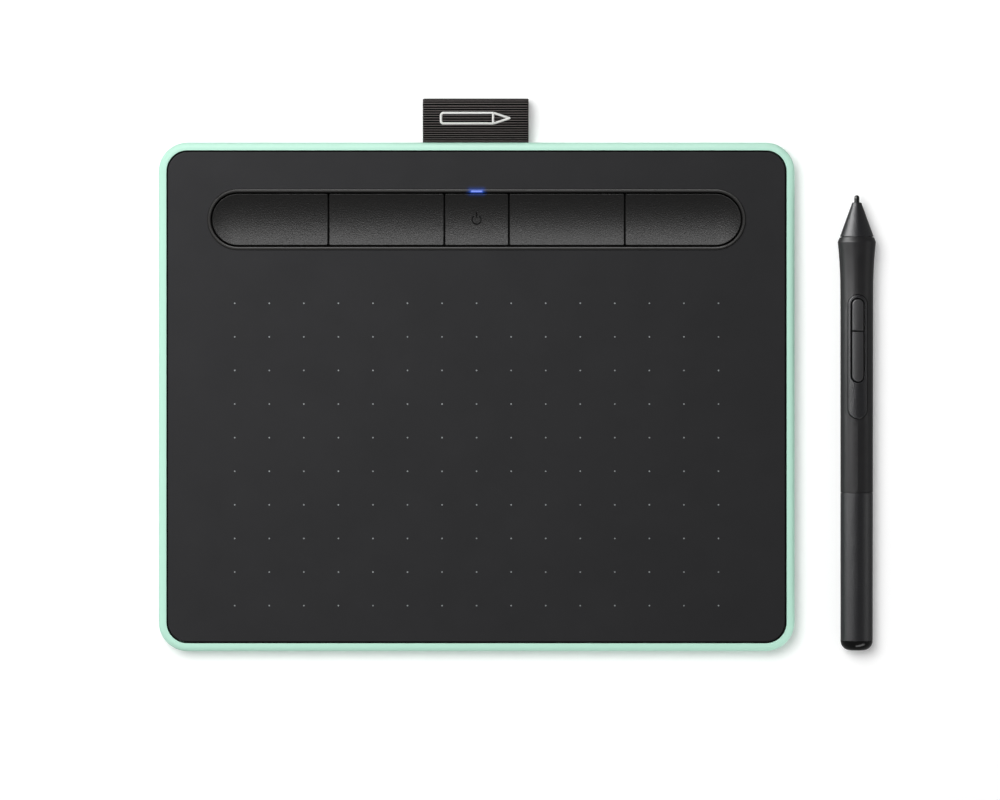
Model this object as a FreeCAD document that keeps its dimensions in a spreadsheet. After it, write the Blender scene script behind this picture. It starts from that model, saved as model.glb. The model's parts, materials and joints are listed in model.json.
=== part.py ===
"""Pen drawing tablet with its pen, as an assembly of separate pieces.

Millimetres, +Z up, the desk at Z = 0. The origin is the middle of the whole set's footprint.
The tablet's own frame has its middle at (TabletX, TabletY), +Y to the rear edge with the pen loop.
The pen's own frame has its origin at the tail, +Y along the axis to the nib and +Z out of the
side buttons; the pen lies on the desk to the right of the tablet, on its shoulder and its tail,
so its axis leans by PenTilt.
"""
import FreeCAD, Part
import math
import os
import Sketcher

V = FreeCAD.Vector

SIZES = {
    # the whole set
    "TabletX": -12.8, "TabletY": -6.9,
    "PenX": 106.83, "PenY": -86.65, "PenZ": 5.08, "PenTilt": 0.42,
    # case
    "TabletWidth": 200, "TabletDepth": 160, "CornerRadius": 9.1,
    "CaseBottom": 0.8, "CaseFloor": 1.3, "RimTop": 8.3, "RimWidth": 2.55,
    "RimRounding": 1.85, "BellyRounding": 2.6, "RimEdge": 0.2,
    # deck
    "DeckTop": 8.5, "DeckThick": 1.4, "DeckGap": 0.5, "SkirtThick": 1.2, "SkirtBottom": 2.5,
    "DeckEdge": 0.3, "CutOver": 1,
    # feet and case screws
    "FootX": 90.5, "FootY": 71, "FootRadius": 5.5, "FootRecess": 0.6, "FootEdge": 0.4,
    "BossRadius": 4, "BossTop": 3.6, "HeadSeat": 2.7, "HeadRadius": 1.9, "ScrewRadius": 1,
    "ScrewTop": 6.4, "PostRadius": 2.5, "RunningGap": 0.05, "FootSlack": 0.1, "HeadSlack": 0.2,
    "ScrewSlack": 0.15, "ThreadSlack": 0.02, "PilotSpare": 0.2, "HeadSink": 0.1,
    "SlotLength": 2.47, "SlotWidth": 0.475, "SlotDepth": 0.5,
    # ribs under the sensor
    "RibTop": 5.6, "RibThick": 1, "BayHalfWidth": 32, "BayFront": -26, "BayRear": 16,
    "RibOuterX": 75, "RibFront": -66, "RibRear": 34, "RibCrossFront": -60, "RibHalfSpan": 80,
    "RibGapLeft": 4, "RibGapRight": 16,
    # key row
    "KeyRowY": 55.7, "KeyEndX": 75, "KeyHalf": 8.1, "KeyGap": 0.45, "KeyBottom": 5.2,
    "KeyBlankTop": 8.8, "LipReach": 1.05, "LipTop": 6.1, "OuterDivider": 46.6,
    "InnerDivider": 10.15, "DishRadius": 21, "DishBottom": 6.65, "KeyPostRadius": 1.6,
    "KeyPostBottom": 3.3, "KeyEdge": 0.2, "KeyCorner": 0.45,
    # ridge around the keys, and the light
    "RidgeWidth": 1.05, "RidgeTop": 8.8, "RidgeRounding": 0.42, "FlangeReach": 2.5,
    "FlangeBottom": 6.2, "FlangeTop": 7.05,
    "LightWidth": 3.9, "LightDepth": 0.68, "LightY": 8.88, "LightBottom": 3.6, "LightTop": 8.74,
    "LightSlack": 0.03, "LightHoleSlack": 0.3, "ReliefSpare": 1,
    # power symbol
    "SymbolRadius": 1.6, "SymbolLine": 0.4, "SymbolY": 0, "SymbolGapAngle": 38,
    "SymbolRise": 2.3, "SymbolStemAt": 0.6, "SymbolDepth": 0.3,
    # key carrier
    "CarrierHalfWidth": 87, "CarrierHalfDepth": 12, "CarrierRadius": 3, "CarrierBottom": 3.95,
    "CarrierFloorTop": 4.7, "WellReach": 3.1, "PostHoleRadius": 2.3, "PinX": 83.5, "PinY": 10.3,
    "PinRadius": 1, "StakeRadius": 1.6, "StakeBottom": 3.4,
    # boards
    "BoardThick": 0.8, "BoardLeft": -93.2, "BoardRight": 72, "BoardFront": 40.5, "BoardRear": 66.5,
    "SensorHalfWidth": 82, "SensorFront": -71, "SensorRear": 36, "SensorThick": 1,
    "ShieldThick": 0.3, "ShieldInset": 1, "PlateCorner": 2,
    "DomeRadius": 2.4, "DomeHeight": 0.36, "DomeSheet": 0.08, "DomeShoulder": 0.3,
    "ControllerX": 46, "ControllerY": 58, "ControllerSide": 7, "ControllerThick": 0.9,
    "RadioX": -46, "RadioY": 52, "RadioWidth": 12, "RadioDepth": 9, "RadioThick": 1,
    "LedWidth": 1.6, "LedDepth": 0.7, "LedThick": 0.6,
    # sensor flex, its socket, the battery and its lead
    "FlexX": 33, "FlexWidth": 16, "FlexThick": 0.2, "FlexTop": 6.4, "FlexLow": 3.4,
    "FlexBend": 0.8,
    "SocketWidth": 18, "SocketFront": 42, "SocketDepth": 3.5, "SocketHeight": 1,
    "BatteryWidth": 60, "BatteryDepth": 38, "BatteryThick": 3.1, "BatteryY": -5,
    "BatteryRounding": 1.2, "LeadRadius": 0.55, "LeadPitch": 1.6, "LeadX": 9, "LeadBend": 6,
    "LeadRun": 7, "LeadJog": 2.5, "LeadPlugRun": 5,
    "LeadPlugWidth": 8, "LeadPlugFront": 41, "LeadPlugDepth": 3.5,
    # charging and data socket in the left edge
    "UsbWidth": 7.5, "UsbHeight": 2.45, "UsbDepth": 5.6, "UsbSheet": 0.25, "UsbMouthX": -98.8,
    "UsbCorner": 1.1, "UsbHoleWidth": 8.3, "UsbHoleHeight": 3.2, "UsbNotchWidth": 10,
    "UsbNotchHeight": 5, "TongueWidth": 3.8, "TongueThick": 0.6, "TongueReach": 3.6,
    "UsbHoleCorner": 0.9, "TongueRoot": 1, "TongueRise": 0.25, "UsbStand": 0.05,
    # pen loop of elastic webbing, and its clamp
    "LoopX": -0.3, "LoopWidth": 33.3, "LoopThick": 1.1, "LoopReach": 13.95, "LoopUpper": 5.65,
    "LoopLower": 4.5, "LoopCrown": 7.2, "LoopKeel": 1, "LoopStart": 70.5, "LoopSlack": 0.25,
    "LoopRiseAt": 1.6, "LoopRiseBend": 6, "LoopCrownAt": 6.6, "LoopCrownBend": 8,
    "LoopNoseBend": 2.2, "LoopNoseDrop": 0.3, "LoopNoseLift": 0.1, "LoopKeelAt": 6,
    "LoopKeelBend": 5, "LoopFallAt": 1.9, "LoopFallBend": 3, "LoopLidGap": 0.1,
    "ClampHalfWidth": 24, "ClampFront": 69.5, "ClampRear": 75.5, "LedgeTop": 3.9,
    "ClampTop": 7.05, "ClampScrewX": 20.5, "ClampScrewY": 72.5, "ClampScrewRadius": 0.8,
    "ClampHeadRadius": 1.5, "ClampHeadHeight": 0.6, "ClampScrewLow": 2.9, "ClampSlack": 0.4,
    # pen, by distance from the tail
    "PenLength": 143.2, "BarrelFrontRadius": 5.17, "BarrelRadius": 5.1, "TailRadius": 5.06,
    "BarrelBore": 4.2, "RearBore": 4.05, "SplitAt": 49.7, "SplitGap": 0.1, "CapLength": 3.1,
    "CapRounding": 3, "CapPlugEnd": 7, "NibPullRadius": 0.95, "NibPullDepth": 5,
    "NeckAt": 113.2, "ShoulderAt": 128.5, "ShoulderRadius": 6.0, "ShoulderRounding": 0.9,
    "ConeAt": 129.92, "ConeRadius": 5.42, "ConeTipAt": 140.9, "ConeTipRadius": 1.42,
    "SeamWidth": 0.25, "SeamDepth": 0.5, "SeamDrop": 0.1, "SeamEdge": 0.08,
    "ConeSpigotAt": 125.5, "ConeSpigotRadius": 4.15, "ConeBore": 0.95, "ConeWall": 3.2,
    "ConeBoreAt": 139.4, "ConeCavityAt": 131, "ConeEdge": 0.25,
    "NibRadius": 0.82, "NibRear": 131, "SplitEdge": 0.15, "HoleEdge": 0.25,
    # side-button mounting
    "PanelFront": 111.8, "PanelRear": 72.9, "PanelHalf": 3.0, "PanelRadius": 5.45,
    "PanelBottom": 3.2, "PanelGap": 0.16, "PanelEdge": 0.3, "PanelClear": 0.6,
    "ButtonFront": 110.45, "ButtonRear": 84.55, "ButtonHalf": 1.75, "ButtonSplit": 100.4,
    "ButtonGap": 0.3, "ButtonTopRadius": 5.8, "ButtonBottom": 2.4, "ButtonLipHalf": 2.6,
    "ButtonLipTop": 3.1, "ButtonSlack": 0.27, "ButtonEdge": 0.35, "LipClear": 0.3,
    "WindowRear": 0.5, "WindowFront": 1.5,
    # inside the pen
    "ChassisRadius": 4.1, "ChassisFront": 116.8, "ChassisStep": 50.2, "SpigotRadius": 4,
    "ChassisRear": 30, "TroughRear": 51, "TroughFront": 103.5, "TroughFloor": 0.2,
    "SensorBore": 2.05, "FerriteBoreAt": 114.4, "FerriteRadius": 2.1, "FerriteRear": 114.5,
    "FerriteFront": 129.5, "FerriteBore": 1.1, "CoilRadius": 2.9, "CoilRear": 118.5,
    "CoilFront": 128, "PenBoardHalf": 3.5, "PenBoardThick": 1, "PenBoardRear": 52,
    "PenBoardFront": 103, "PenSwitchLength": 4, "PenSwitchHalf": 1.4, "PenSwitchHeight": 0.85,
    "UpperSwitchAt": 101.2, "LowerSwitchAt": 91, "HolderRodRadius": 0.9, "HolderCupRadius": 1.5,
    "HolderCupRear": 130.6, "HolderCupFront": 136.5, "HolderRear": 112.8, "NibSocket": 0.84,
    "PadRadius": 1.2, "PressureRear": 104, "PressureFront": 111.8, "PressureRadius": 1.95,
    # spare nibs
    "SpareCount": 3, "SpareLength": 12.2, "SpareRear": 23.8, "SpareRing": 2.2, "SpareHole": 0.86,
    "SpareHoleFront": 36.2,
}


class Size:
    """A length with the sheet formula that gives it, so that one sum makes both."""

    def __init__(self, number, formula):
        self.number = float(number)
        self.formula = formula

    def __float__(self):
        return self.number

    def __add__(self, other):
        other = size(other)
        return Size(self.number + other.number, f"({self.formula} + {other.formula})")

    def __sub__(self, other):
        other = size(other)
        return Size(self.number - other.number, f"({self.formula} - {other.formula})")

    def __mul__(self, other):
        other = size(other)
        return Size(self.number * other.number, f"({self.formula} * {other.formula})")

    def __truediv__(self, other):
        other = size(other)
        return Size(self.number / other.number, f"({self.formula} / {other.formula})")

    def __neg__(self):
        return Size(-self.number, f"(0 - {self.formula})")

    def __radd__(self, other):
        return size(other) + self

    def __rsub__(self, other):
        return size(other) - self

    def __rmul__(self, other):
        return size(other) * self


def size(value):
    """A plain number as a Size; a Size stays as it is."""
    if isinstance(value, Size):
        return value
    return Size(value, repr(float(value)))


class Sheet:
    """The driving dimensions: one row each, name in column A and number in column B."""

    def __init__(self, document, sizes):
        self.sheet = document.addObject("Spreadsheet::Sheet", "Dims")
        for row, (name, value) in enumerate(sizes.items(), start=1):
            self.sheet.set(f"A{row}", name)
            self.sheet.set(f"B{row}", str(value))
            self.sheet.setAlias(f"B{row}", name)
        self.values = sizes

    def __getattr__(self, name):
        if name not in self.values:
            raise AttributeError(name)
        return Size(self.values[name], f"Dims.{name}")


doc = FreeCAD.newDocument("PenTablet")
D = Sheet(doc, SIZES)
doc.recompute()
PIECES = []  # every sub-part, in the order it is made


# ---------------------------------------------------------------- bodies and sketches

def bind(thing, name, value):
    """Ties a property to its formula over the sheet."""
    thing.setExpression(name, size(value).formula)


def place(piece, frame, x=0, y=0, z=0):
    """Sets a piece in the tablet's or the pen's frame, moved by x, y, z of that frame."""
    if frame == "tablet":
        bind(piece, "Placement.Base.x", D.TabletX + x)
        bind(piece, "Placement.Base.y", D.TabletY + y)
        bind(piece, "Placement.Base.z", z)
        return
    lean = math.radians(float(D.PenTilt))
    piece.Placement.Rotation = FreeCAD.Rotation(V(1, 0, 0), float(D.PenTilt))
    bind(piece, "Placement.Rotation.Angle", D.PenTilt)
    bind(piece, "Placement.Base.x", D.PenX + x)
    bind(piece, "Placement.Base.y", D.PenY + size(y) * math.cos(lean))
    bind(piece, "Placement.Base.z", D.PenZ + size(y) * math.sin(lean))


def new_body(label, frame="tablet", **at):
    """An empty body for one sub-part. It is placed after its features are made."""
    body = doc.addObject("PartDesign::Body", label)
    body.Label = label
    PIECES.append(body)
    place(body, frame, **at)
    return body


def shape_piece(label, shape, frame="tablet"):
    """A sub-part whose shape is made with Part's own functions."""
    piece = doc.addObject("Part::Feature", label)
    piece.Label = label
    piece.Shape = shape
    PIECES.append(piece)
    place(piece, frame)
    return piece


def sketch_on(body, plane, level=0):
    """An empty sketch on one of the body's own planes, moved along the plane's +Z, +X or -Y."""
    sketch = body.newObject("Sketcher::SketchObject", "Sketch")
    role = {"top": "XY_Plane", "side": "YZ_Plane", "front": "XZ_Plane"}[plane]
    face = [o for o in body.Origin.OriginFeatures if o.Role == role][0]
    sketch.AttachmentSupport = [(face, "")]
    sketch.MapMode = "FlatFace"
    bind(sketch, "AttachmentOffset.Base.z", level)
    return sketch


def dimension(sketch, kind, references, value):
    """A driving constraint bound to its formula."""
    index = sketch.addConstraint(Sketcher.Constraint(kind, *references, float(value)))
    name = f"{kind}{index}"
    sketch.renameConstraint(index, name)
    bind(sketch, f"Constraints.{name}", value)


def at_point(sketch, element, end, x, y):
    """Holds one point of an element at x, y."""
    for kind, axis, value in (("DistanceX", -2, x), ("DistanceY", -1, y)):
        if abs(float(value)) < 1e-9:
            sketch.addConstraint(Sketcher.Constraint("PointOnObject", element, end, axis))
        else:
            dimension(sketch, kind, (-1, 1, element, end), value)


def polygon(sketch, points):
    """A closed outline of straight lines with a corner at each point. Gives its first line."""
    first = sketch.GeometryCount
    ends = [V(float(x), float(y), 0) for x, y in points]
    for i, start in enumerate(ends):
        sketch.addGeometry(Part.LineSegment(start, ends[(i + 1) % len(ends)]), False)
    for i in range(len(ends)):
        following = first + (i + 1) % len(ends)
        sketch.addConstraint(Sketcher.Constraint("Coincident", first + i, 2, following, 1))
    for i, (x, y) in enumerate(points):
        at_point(sketch, first + i, 1, x, y)
    return first


def box_outline(sketch, left, front, right, rear):
    """A rectangle between two corners."""
    polygon(sketch, [(left, front), (right, front), (right, rear), (left, rear)])


def circle(sketch, x, y, radius):
    element = sketch.addGeometry(
        Part.Circle(V(float(x), float(y), 0), V(0, 0, 1), float(radius)), False
    )
    dimension(sketch, "Radius", (element,), radius)
    at_point(sketch, element, 3, x, y)


def arc(sketch, x, y, radius, start, end):
    """An arc about x, y from one angle to another, in degrees, anticlockwise."""
    whole = Part.Circle(V(float(x), float(y), 0), V(0, 0, 1), float(radius))
    part = Part.ArcOfCircle(whole, math.radians(start), math.radians(end))
    return sketch.addGeometry(part, False)


def rounded_box(sketch, half_width, half_depth, radius, x=0, y=0):
    """A rectangle with round corners about x, y."""
    x, y, half_width, half_depth, radius = (size(v) for v in (x, y, half_width, half_depth, radius))
    inner_x, inner_y = half_width - radius, half_depth - radius
    first = sketch.GeometryCount
    for corner, (sx, sy) in enumerate(((1, 1), (-1, 1), (-1, -1), (1, -1))):
        turn = 90 * corner
        arc(sketch, x + inner_x * sx, y + inner_y * sy, radius, turn, turn + 90)
    arcs = [sketch.Geometry[first + i] for i in range(4)]
    for i in range(4):
        line = Part.LineSegment(arcs[i].EndPoint, arcs[(i + 1) % 4].StartPoint)
        sketch.addGeometry(line, False)
    for i in range(4):
        line, after = first + 4 + i, first + (i + 1) % 4
        sketch.addConstraint(Sketcher.Constraint("Tangent", first + i, 2, line, 1))
        sketch.addConstraint(Sketcher.Constraint("Tangent", line, 2, after, 1))
    for i, (sx, sy) in enumerate(((1, 1), (-1, 1), (-1, -1), (1, -1))):
        at_point(sketch, first + i, 3, x + inner_x * sx, y + inner_y * sy)
    dimension(sketch, "Radius", (first,), radius)


def stadium(sketch, half_run, radius, x=0, y=0, along_x=True):
    """Two half circles joined by straight sides; half_run is from the middle to each centre."""
    x, y, half_run = size(x), size(y), size(half_run)
    first = sketch.GeometryCount
    turn = -90 if along_x else 0
    ends = []
    for sign, extra in ((1, 0), (-1, 180)):
        cx = x + half_run * sign if along_x else x
        cy = y if along_x else y + half_run * sign
        arc(sketch, cx, cy, radius, turn + extra, turn + extra + 180)
        ends.append((cx, cy))
    arcs = [sketch.Geometry[first], sketch.Geometry[first + 1]]
    for i in range(2):
        line = Part.LineSegment(arcs[i].EndPoint, arcs[1 - i].StartPoint)
        sketch.addGeometry(line, False)
    for i in range(2):
        line = first + 2 + i
        sketch.addConstraint(Sketcher.Constraint("Tangent", first + i, 2, line, 1))
        sketch.addConstraint(Sketcher.Constraint("Tangent", line, 2, first + 1 - i, 1))
    for i, (cx, cy) in enumerate(ends):
        at_point(sketch, first + i, 3, cx, cy)
    dimension(sketch, "Radius", (first,), radius)


def half_stadium(sketch, flat, centre, radius, y):
    """A row's end: a straight edge across at flat, and a half circle beyond centre."""
    side = 1 if float(centre) > float(flat) else -1
    first = sketch.GeometryCount
    start = -90 if side > 0 else 90
    arc(sketch, centre, y, radius, start, start + 180)
    bent = sketch.Geometry[first]
    far, near = V(float(flat), bent.EndPoint.y, 0), V(float(flat), bent.StartPoint.y, 0)
    for a, b in ((bent.EndPoint, far), (far, near), (near, bent.StartPoint)):
        sketch.addGeometry(Part.LineSegment(a, b), False)
    sketch.addConstraint(Sketcher.Constraint("Tangent", first, 2, first + 1, 1))
    sketch.addConstraint(Sketcher.Constraint("Coincident", first + 1, 2, first + 2, 1))
    sketch.addConstraint(Sketcher.Constraint("Coincident", first + 2, 2, first + 3, 1))
    sketch.addConstraint(Sketcher.Constraint("Tangent", first + 3, 2, first, 1))
    sketch.addConstraint(Sketcher.Constraint("Vertical", first + 2))
    at_point(sketch, first, 3, centre, y)
    dimension(sketch, "Radius", (first,), radius)
    dimension(sketch, "DistanceX", (-1, 1, first + 2, 1), flat)


# ---------------------------------------------------------------- features

def pad(body, sketch, length):
    """Adds the sketch's outline, upwards from a top sketch."""
    feature = body.newObject("PartDesign::Pad", "Pad")
    feature.Profile = (sketch, [""])
    bind(feature, "Length", length)
    return feature


def pocket(body, sketch, length, up=False):
    """Cuts the sketch's outline: down from a top sketch, to -X from a side one and to +Y from a
    front one, or the other way with up."""
    feature = body.newObject("PartDesign::Pocket", "Pocket")
    feature.Profile = (sketch, [""])
    feature.Reversed = up
    bind(feature, "Length", length)
    return feature


def turn(body, sketch, axis="H_Axis"):
    """A solid of revolution about one of the sketch's axes."""
    feature = body.newObject("PartDesign::Revolution", "Revolution")
    feature.Profile = (sketch, [""])
    feature.ReferenceAxis = (sketch, [axis])
    feature.Angle = 360
    return feature


def fillet(body, radius, chosen):
    """Rounds the edges of the body's tip that pass the test."""
    doc.recompute()
    tip = body.Tip
    names = [f"Edge{i}" for i, edge in enumerate(tip.Shape.Edges, start=1) if chosen(edge)]
    feature = body.newObject("PartDesign::Fillet", "Fillet")
    feature.Base = (tip, names)
    bind(feature, "Radius", radius)
    return feature


def level_edges(z):
    """A test for edges that lie wholly at height z."""
    return lambda edge: all(abs(v.Point.z - float(z)) < 1e-5 for v in edge.Vertexes) and (
        abs(edge.BoundBox.ZMin - edge.BoundBox.ZMax) < 1e-4
    )


def ring_edges(at, radius, reach=0.02):
    """A test for circles about the Y axis at one place and radius."""
    def chosen(edge):
        curve = edge.Curve
        if not isinstance(curve, Part.Circle) or abs(abs(curve.Axis.y) - 1) > 1e-6:
            return False
        return abs(curve.Center.y - float(at)) < reach and abs(curve.Radius - float(radius)) < reach
    return chosen


def block(label, left, front, right, rear, bottom, top, rounding=None):
    """A plain rectangular piece, with its upright edges rounded if asked."""
    body = new_body(label)
    outline = sketch_on(body, "top", bottom)
    box_outline(outline, left, front, right, rear)
    pad(body, outline, size(top) - bottom)
    if rounding is not None:
        fillet(body, rounding, is_upright)
    return body


CORNERS = [(1, 1), (-1, 1), (-1, -1), (1, -1)]
RIGHT_LEFT = (1, -1)


# ---------------------------------------------------------------- the case

case_floor_top = D.CaseBottom + D.CaseFloor
deck_under = D.DeckTop - D.DeckThick
board_top = case_floor_top + D.BoardThick


def bottom_case():
    """The green shell: floor, rounded rim, ribs, screw bosses, socket hole and loop slot."""
    body = new_body("bottom_case")
    outline = sketch_on(body, "top", D.CaseBottom)
    rounded_box(outline, D.TabletWidth / 2, D.TabletDepth / 2, D.CornerRadius)
    pad(body, outline, D.RimTop - D.CaseBottom)
    fillet(body, D.RimRounding, level_edges(D.RimTop))
    fillet(body, D.BellyRounding, level_edges(D.CaseBottom))

    cavity = sketch_on(body, "top", D.RimTop)
    half_width = D.TabletWidth / 2 - D.RimWidth
    half_depth = D.TabletDepth / 2 - D.RimWidth
    rounded_box(cavity, half_width, half_depth, D.CornerRadius - D.RimWidth)
    pocket(body, cavity, D.RimTop - case_floor_top)

    def inner_rim(edge):
        box = edge.BoundBox
        inside = max(abs(box.XMin), abs(box.XMax)) < float(half_width) + 0.01
        return inside and level_edges(D.RimTop)(edge)
    fillet(body, D.RimEdge, inner_rim)

    half_rib = D.RibThick / 2
    along = sketch_on(body, "top", case_floor_top)
    for x in (-D.RibOuterX, -D.BayHalfWidth, D.BayHalfWidth, D.RibOuterX):
        box_outline(along, x - half_rib, D.RibFront, x + half_rib, D.RibRear)
    pad(body, along, D.RibTop - case_floor_top)
    across = sketch_on(body, "top", case_floor_top)
    span = D.RibHalfSpan
    for y in (D.RibCrossFront, D.BayFront):
        box_outline(across, -span, y - half_rib, span, y + half_rib)
    box_outline(across, -span, D.BayRear - half_rib, D.RibGapLeft, D.BayRear + half_rib)
    box_outline(across, D.RibGapRight, D.BayRear - half_rib, span, D.BayRear + half_rib)
    pad(body, across, D.RibTop - case_floor_top)

    bosses = sketch_on(body, "top", case_floor_top)
    for sx, sy in CORNERS:
        circle(bosses, D.FootX * sx, D.FootY * sy, D.BossRadius)
    pad(body, bosses, D.BossTop - case_floor_top)

    ledge = sketch_on(body, "top", case_floor_top)
    rear = D.TabletDepth / 2 - D.RimWidth
    box_outline(ledge, -D.ClampHalfWidth, D.ClampFront, D.ClampHalfWidth, rear)
    pad(body, ledge, D.LedgeTop - case_floor_top)
    clamp_holes = sketch_on(body, "top", D.LedgeTop)
    for side in RIGHT_LEFT:
        circle(clamp_holes, D.ClampScrewX * side, D.ClampScrewY,
               D.ClampScrewRadius + D.ThreadSlack)
    pocket(body, clamp_holes, D.LedgeTop - D.ClampScrewLow + D.PilotSpare / 2)

    foot_top = D.CaseBottom + D.FootRecess
    steps = (
        (D.CaseBottom, D.FootRadius + D.FootSlack, D.FootRecess),
        (foot_top, D.HeadRadius + D.HeadSlack, D.HeadSeat - foot_top),
        (D.HeadSeat, D.ScrewRadius + D.ScrewSlack, D.BossTop - D.HeadSeat),
    )
    for level, radius, depth in steps:
        holes = sketch_on(body, "top", level)
        for sx, sy in CORNERS:
            circle(holes, D.FootX * sx, D.FootY * sy, radius)
        pocket(body, holes, depth, up=True)

    usb = sketch_on(body, "side", 0 - (D.TabletWidth / 2 - D.RimWidth - D.CutOver))
    middle = usb_middle()
    half = D.UsbHoleWidth / 2
    rounded_box(usb, half, D.UsbHoleHeight / 2, D.UsbHoleCorner, D.KeyRowY, middle)
    pocket(body, usb, D.RimWidth + D.CutOver * 2)

    slot = sketch_on(body, "front", 0 - (D.TabletDepth / 2 - D.RimWidth - D.LoopSlack))
    half = D.LoopWidth / 2 + D.LoopSlack
    slot_top = D.LoopUpper + D.LoopThick / 2 + D.LoopLidGap
    box_outline(slot, D.LoopX - half, D.LedgeTop, D.LoopX + half, slot_top)
    pocket(body, slot, D.RimWidth + D.CutOver)
    return body


def usb_middle():
    """Height of the middle of the socket, which stands on the main board."""
    return board_top + D.UsbStand + D.UsbHeight / 2


def deck_panel():
    """The dark top: drawing surface, skirt inside the case wall, screw posts and staking pins."""
    body = new_body("deck_panel")
    half_width = D.TabletWidth / 2 - D.RimWidth - D.DeckGap
    half_depth = D.TabletDepth / 2 - D.RimWidth - D.DeckGap
    radius = D.CornerRadius - D.RimWidth - D.DeckGap
    outline = sketch_on(body, "top", D.SkirtBottom)
    rounded_box(outline, half_width, half_depth, radius)
    pad(body, outline, D.DeckTop - D.SkirtBottom)
    fillet(body, D.DeckEdge, level_edges(D.DeckTop))

    hollow = sketch_on(body, "top", D.SkirtBottom)
    inner_width, inner_depth = half_width - D.SkirtThick, half_depth - D.SkirtThick
    rounded_box(hollow, inner_width, inner_depth, radius - D.SkirtThick)
    pocket(body, hollow, deck_under - D.SkirtBottom, up=True)
    opening = sketch_on(body, "top", D.DeckTop)
    stadium(opening, D.KeyEndX, ridge_outer() + D.RunningGap, y=D.KeyRowY)
    pocket(body, opening, D.DeckThick)

    posts = sketch_on(body, "top", D.BossTop)
    for sx, sy in CORNERS:
        circle(posts, D.FootX * sx, D.FootY * sy, D.PostRadius)
    pad(body, posts, deck_under - D.BossTop)
    pilots = sketch_on(body, "top", D.BossTop)
    for sx, sy in CORNERS:
        circle(pilots, D.FootX * sx, D.FootY * sy, D.ScrewRadius + D.ThreadSlack)
    pocket(body, pilots, D.ScrewTop - D.BossTop + D.PilotSpare, up=True)

    for bottom, top, radius in (
        (D.CarrierBottom, deck_under, D.PinRadius),
        (D.StakeBottom, D.CarrierBottom, D.StakeRadius),
    ):
        pins = sketch_on(body, "top", bottom)
        for sx, sy in CORNERS:
            circle(pins, D.PinX * sx, D.KeyRowY + D.PinY * sy, radius)
        pad(body, pins, top - bottom)

    notch_low = D.SkirtBottom - D.CutOver
    usb = sketch_on(body, "side", 0 - (inner_width - D.CutOver / 2))
    half = D.UsbNotchWidth / 2
    box_outline(usb, D.KeyRowY - half, notch_low, D.KeyRowY + half,
                case_floor_top + D.UsbNotchHeight)
    pocket(body, usb, D.SkirtThick + D.CutOver)
    slot = sketch_on(body, "front", 0 - (inner_depth - D.LoopSlack))
    half = D.ClampHalfWidth + D.ClampSlack
    slot_top = D.LoopUpper + D.LoopThick / 2 + D.ClampSlack
    box_outline(slot, -half, notch_low, half, slot_top)
    pocket(body, slot, D.SkirtThick + D.LoopSlack * 2)
    return body


def feet():
    """Four round rubber feet that cover the case screws."""
    for row, sy in (("rear", 1), ("front", -1)):
        for side, sx in (("right", 1), ("left", -1)):
            body = new_body(f"foot_{row}_{side}", x=D.FootX * sx, y=D.FootY * sy)
            outline = sketch_on(body, "top", 0)
            circle(outline, 0, 0, D.FootRadius)
            pad(body, outline, D.CaseBottom + D.FootRecess)
            fillet(body, D.FootEdge, level_edges(0))


def case_screws():
    """Four screws from below, each a round head on a shank, as one group of solids."""
    made = []
    for sx, sy in CORNERS:
        head = doc.addObject("Part::Cylinder", "ScrewHead")
        bind(head, "Radius", D.HeadRadius)
        bind(head, "Height", D.HeadSeat - D.CaseBottom - D.FootRecess - D.HeadSink)
        shank = doc.addObject("Part::Cylinder", "ScrewShank")
        bind(shank, "Radius", D.ScrewRadius)
        bind(shank, "Height", D.ScrewTop - D.HeadSeat + D.HeadSink)
        low = D.CaseBottom + D.FootRecess
        for part, z in ((head, low + D.HeadSink), (shank, D.HeadSeat - D.HeadSink)):
            bind(part, "Placement.Base.x", D.FootX * sx)
            bind(part, "Placement.Base.y", D.FootY * sy)
            bind(part, "Placement.Base.z", z)
        socket = doc.addObject("Part::Box", "ScrewSlot")
        bind(socket, "Length", D.SlotLength)
        bind(socket, "Width", D.SlotWidth)
        bind(socket, "Height", D.SlotDepth)
        bind(socket, "Placement.Base.x", D.FootX * sx - D.SlotLength / 2)
        bind(socket, "Placement.Base.y", D.FootY * sy - D.SlotWidth / 2)
        bind(socket, "Placement.Base.z", low)
        fused = doc.addObject("Part::Fuse", "Screw")
        fused.Base, fused.Tool = head, shank
        slotted = doc.addObject("Part::Cut", "SlottedScrew")
        slotted.Base, slotted.Tool = fused, socket
        made.append(slotted)
    group = doc.addObject("Part::Compound", "case_screws")
    group.Label = "case_screws"
    group.Links = made
    PIECES.append(group)
    place(group, "tablet")


# ---------------------------------------------------------------- the key row

def ridge_inner():
    return D.KeyHalf + D.KeyGap


def ridge_outer():
    return ridge_inner() + D.RidgeWidth


def key_bezel():
    """The rounded ridge around the keys, with a flange that holds it under the deck."""
    body = new_body("key_bezel", y=D.KeyRowY)
    ridge = sketch_on(body, "top", D.FlangeBottom)
    stadium(ridge, D.KeyEndX, ridge_outer())
    stadium(ridge, D.KeyEndX, ridge_inner())
    pad(body, ridge, D.RidgeTop - D.FlangeBottom)
    fillet(body, D.RidgeRounding, level_edges(D.RidgeTop))
    flange = sketch_on(body, "top", D.FlangeBottom)
    stadium(flange, D.KeyEndX, ridge_inner() + D.FlangeReach)
    stadium(flange, D.KeyEndX, ridge_inner())
    pad(body, flange, D.FlangeTop - D.FlangeBottom)
    window = sketch_on(body, "top", D.RidgeTop)
    half, half_depth = D.LightWidth / 2 + D.LightSlack, D.LightDepth / 2 + D.LightSlack
    box_outline(window, -half, D.LightY - half_depth, half, D.LightY + half_depth)
    pocket(body, window, D.RidgeTop - D.FlangeBottom + D.CutOver)
    return body


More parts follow.
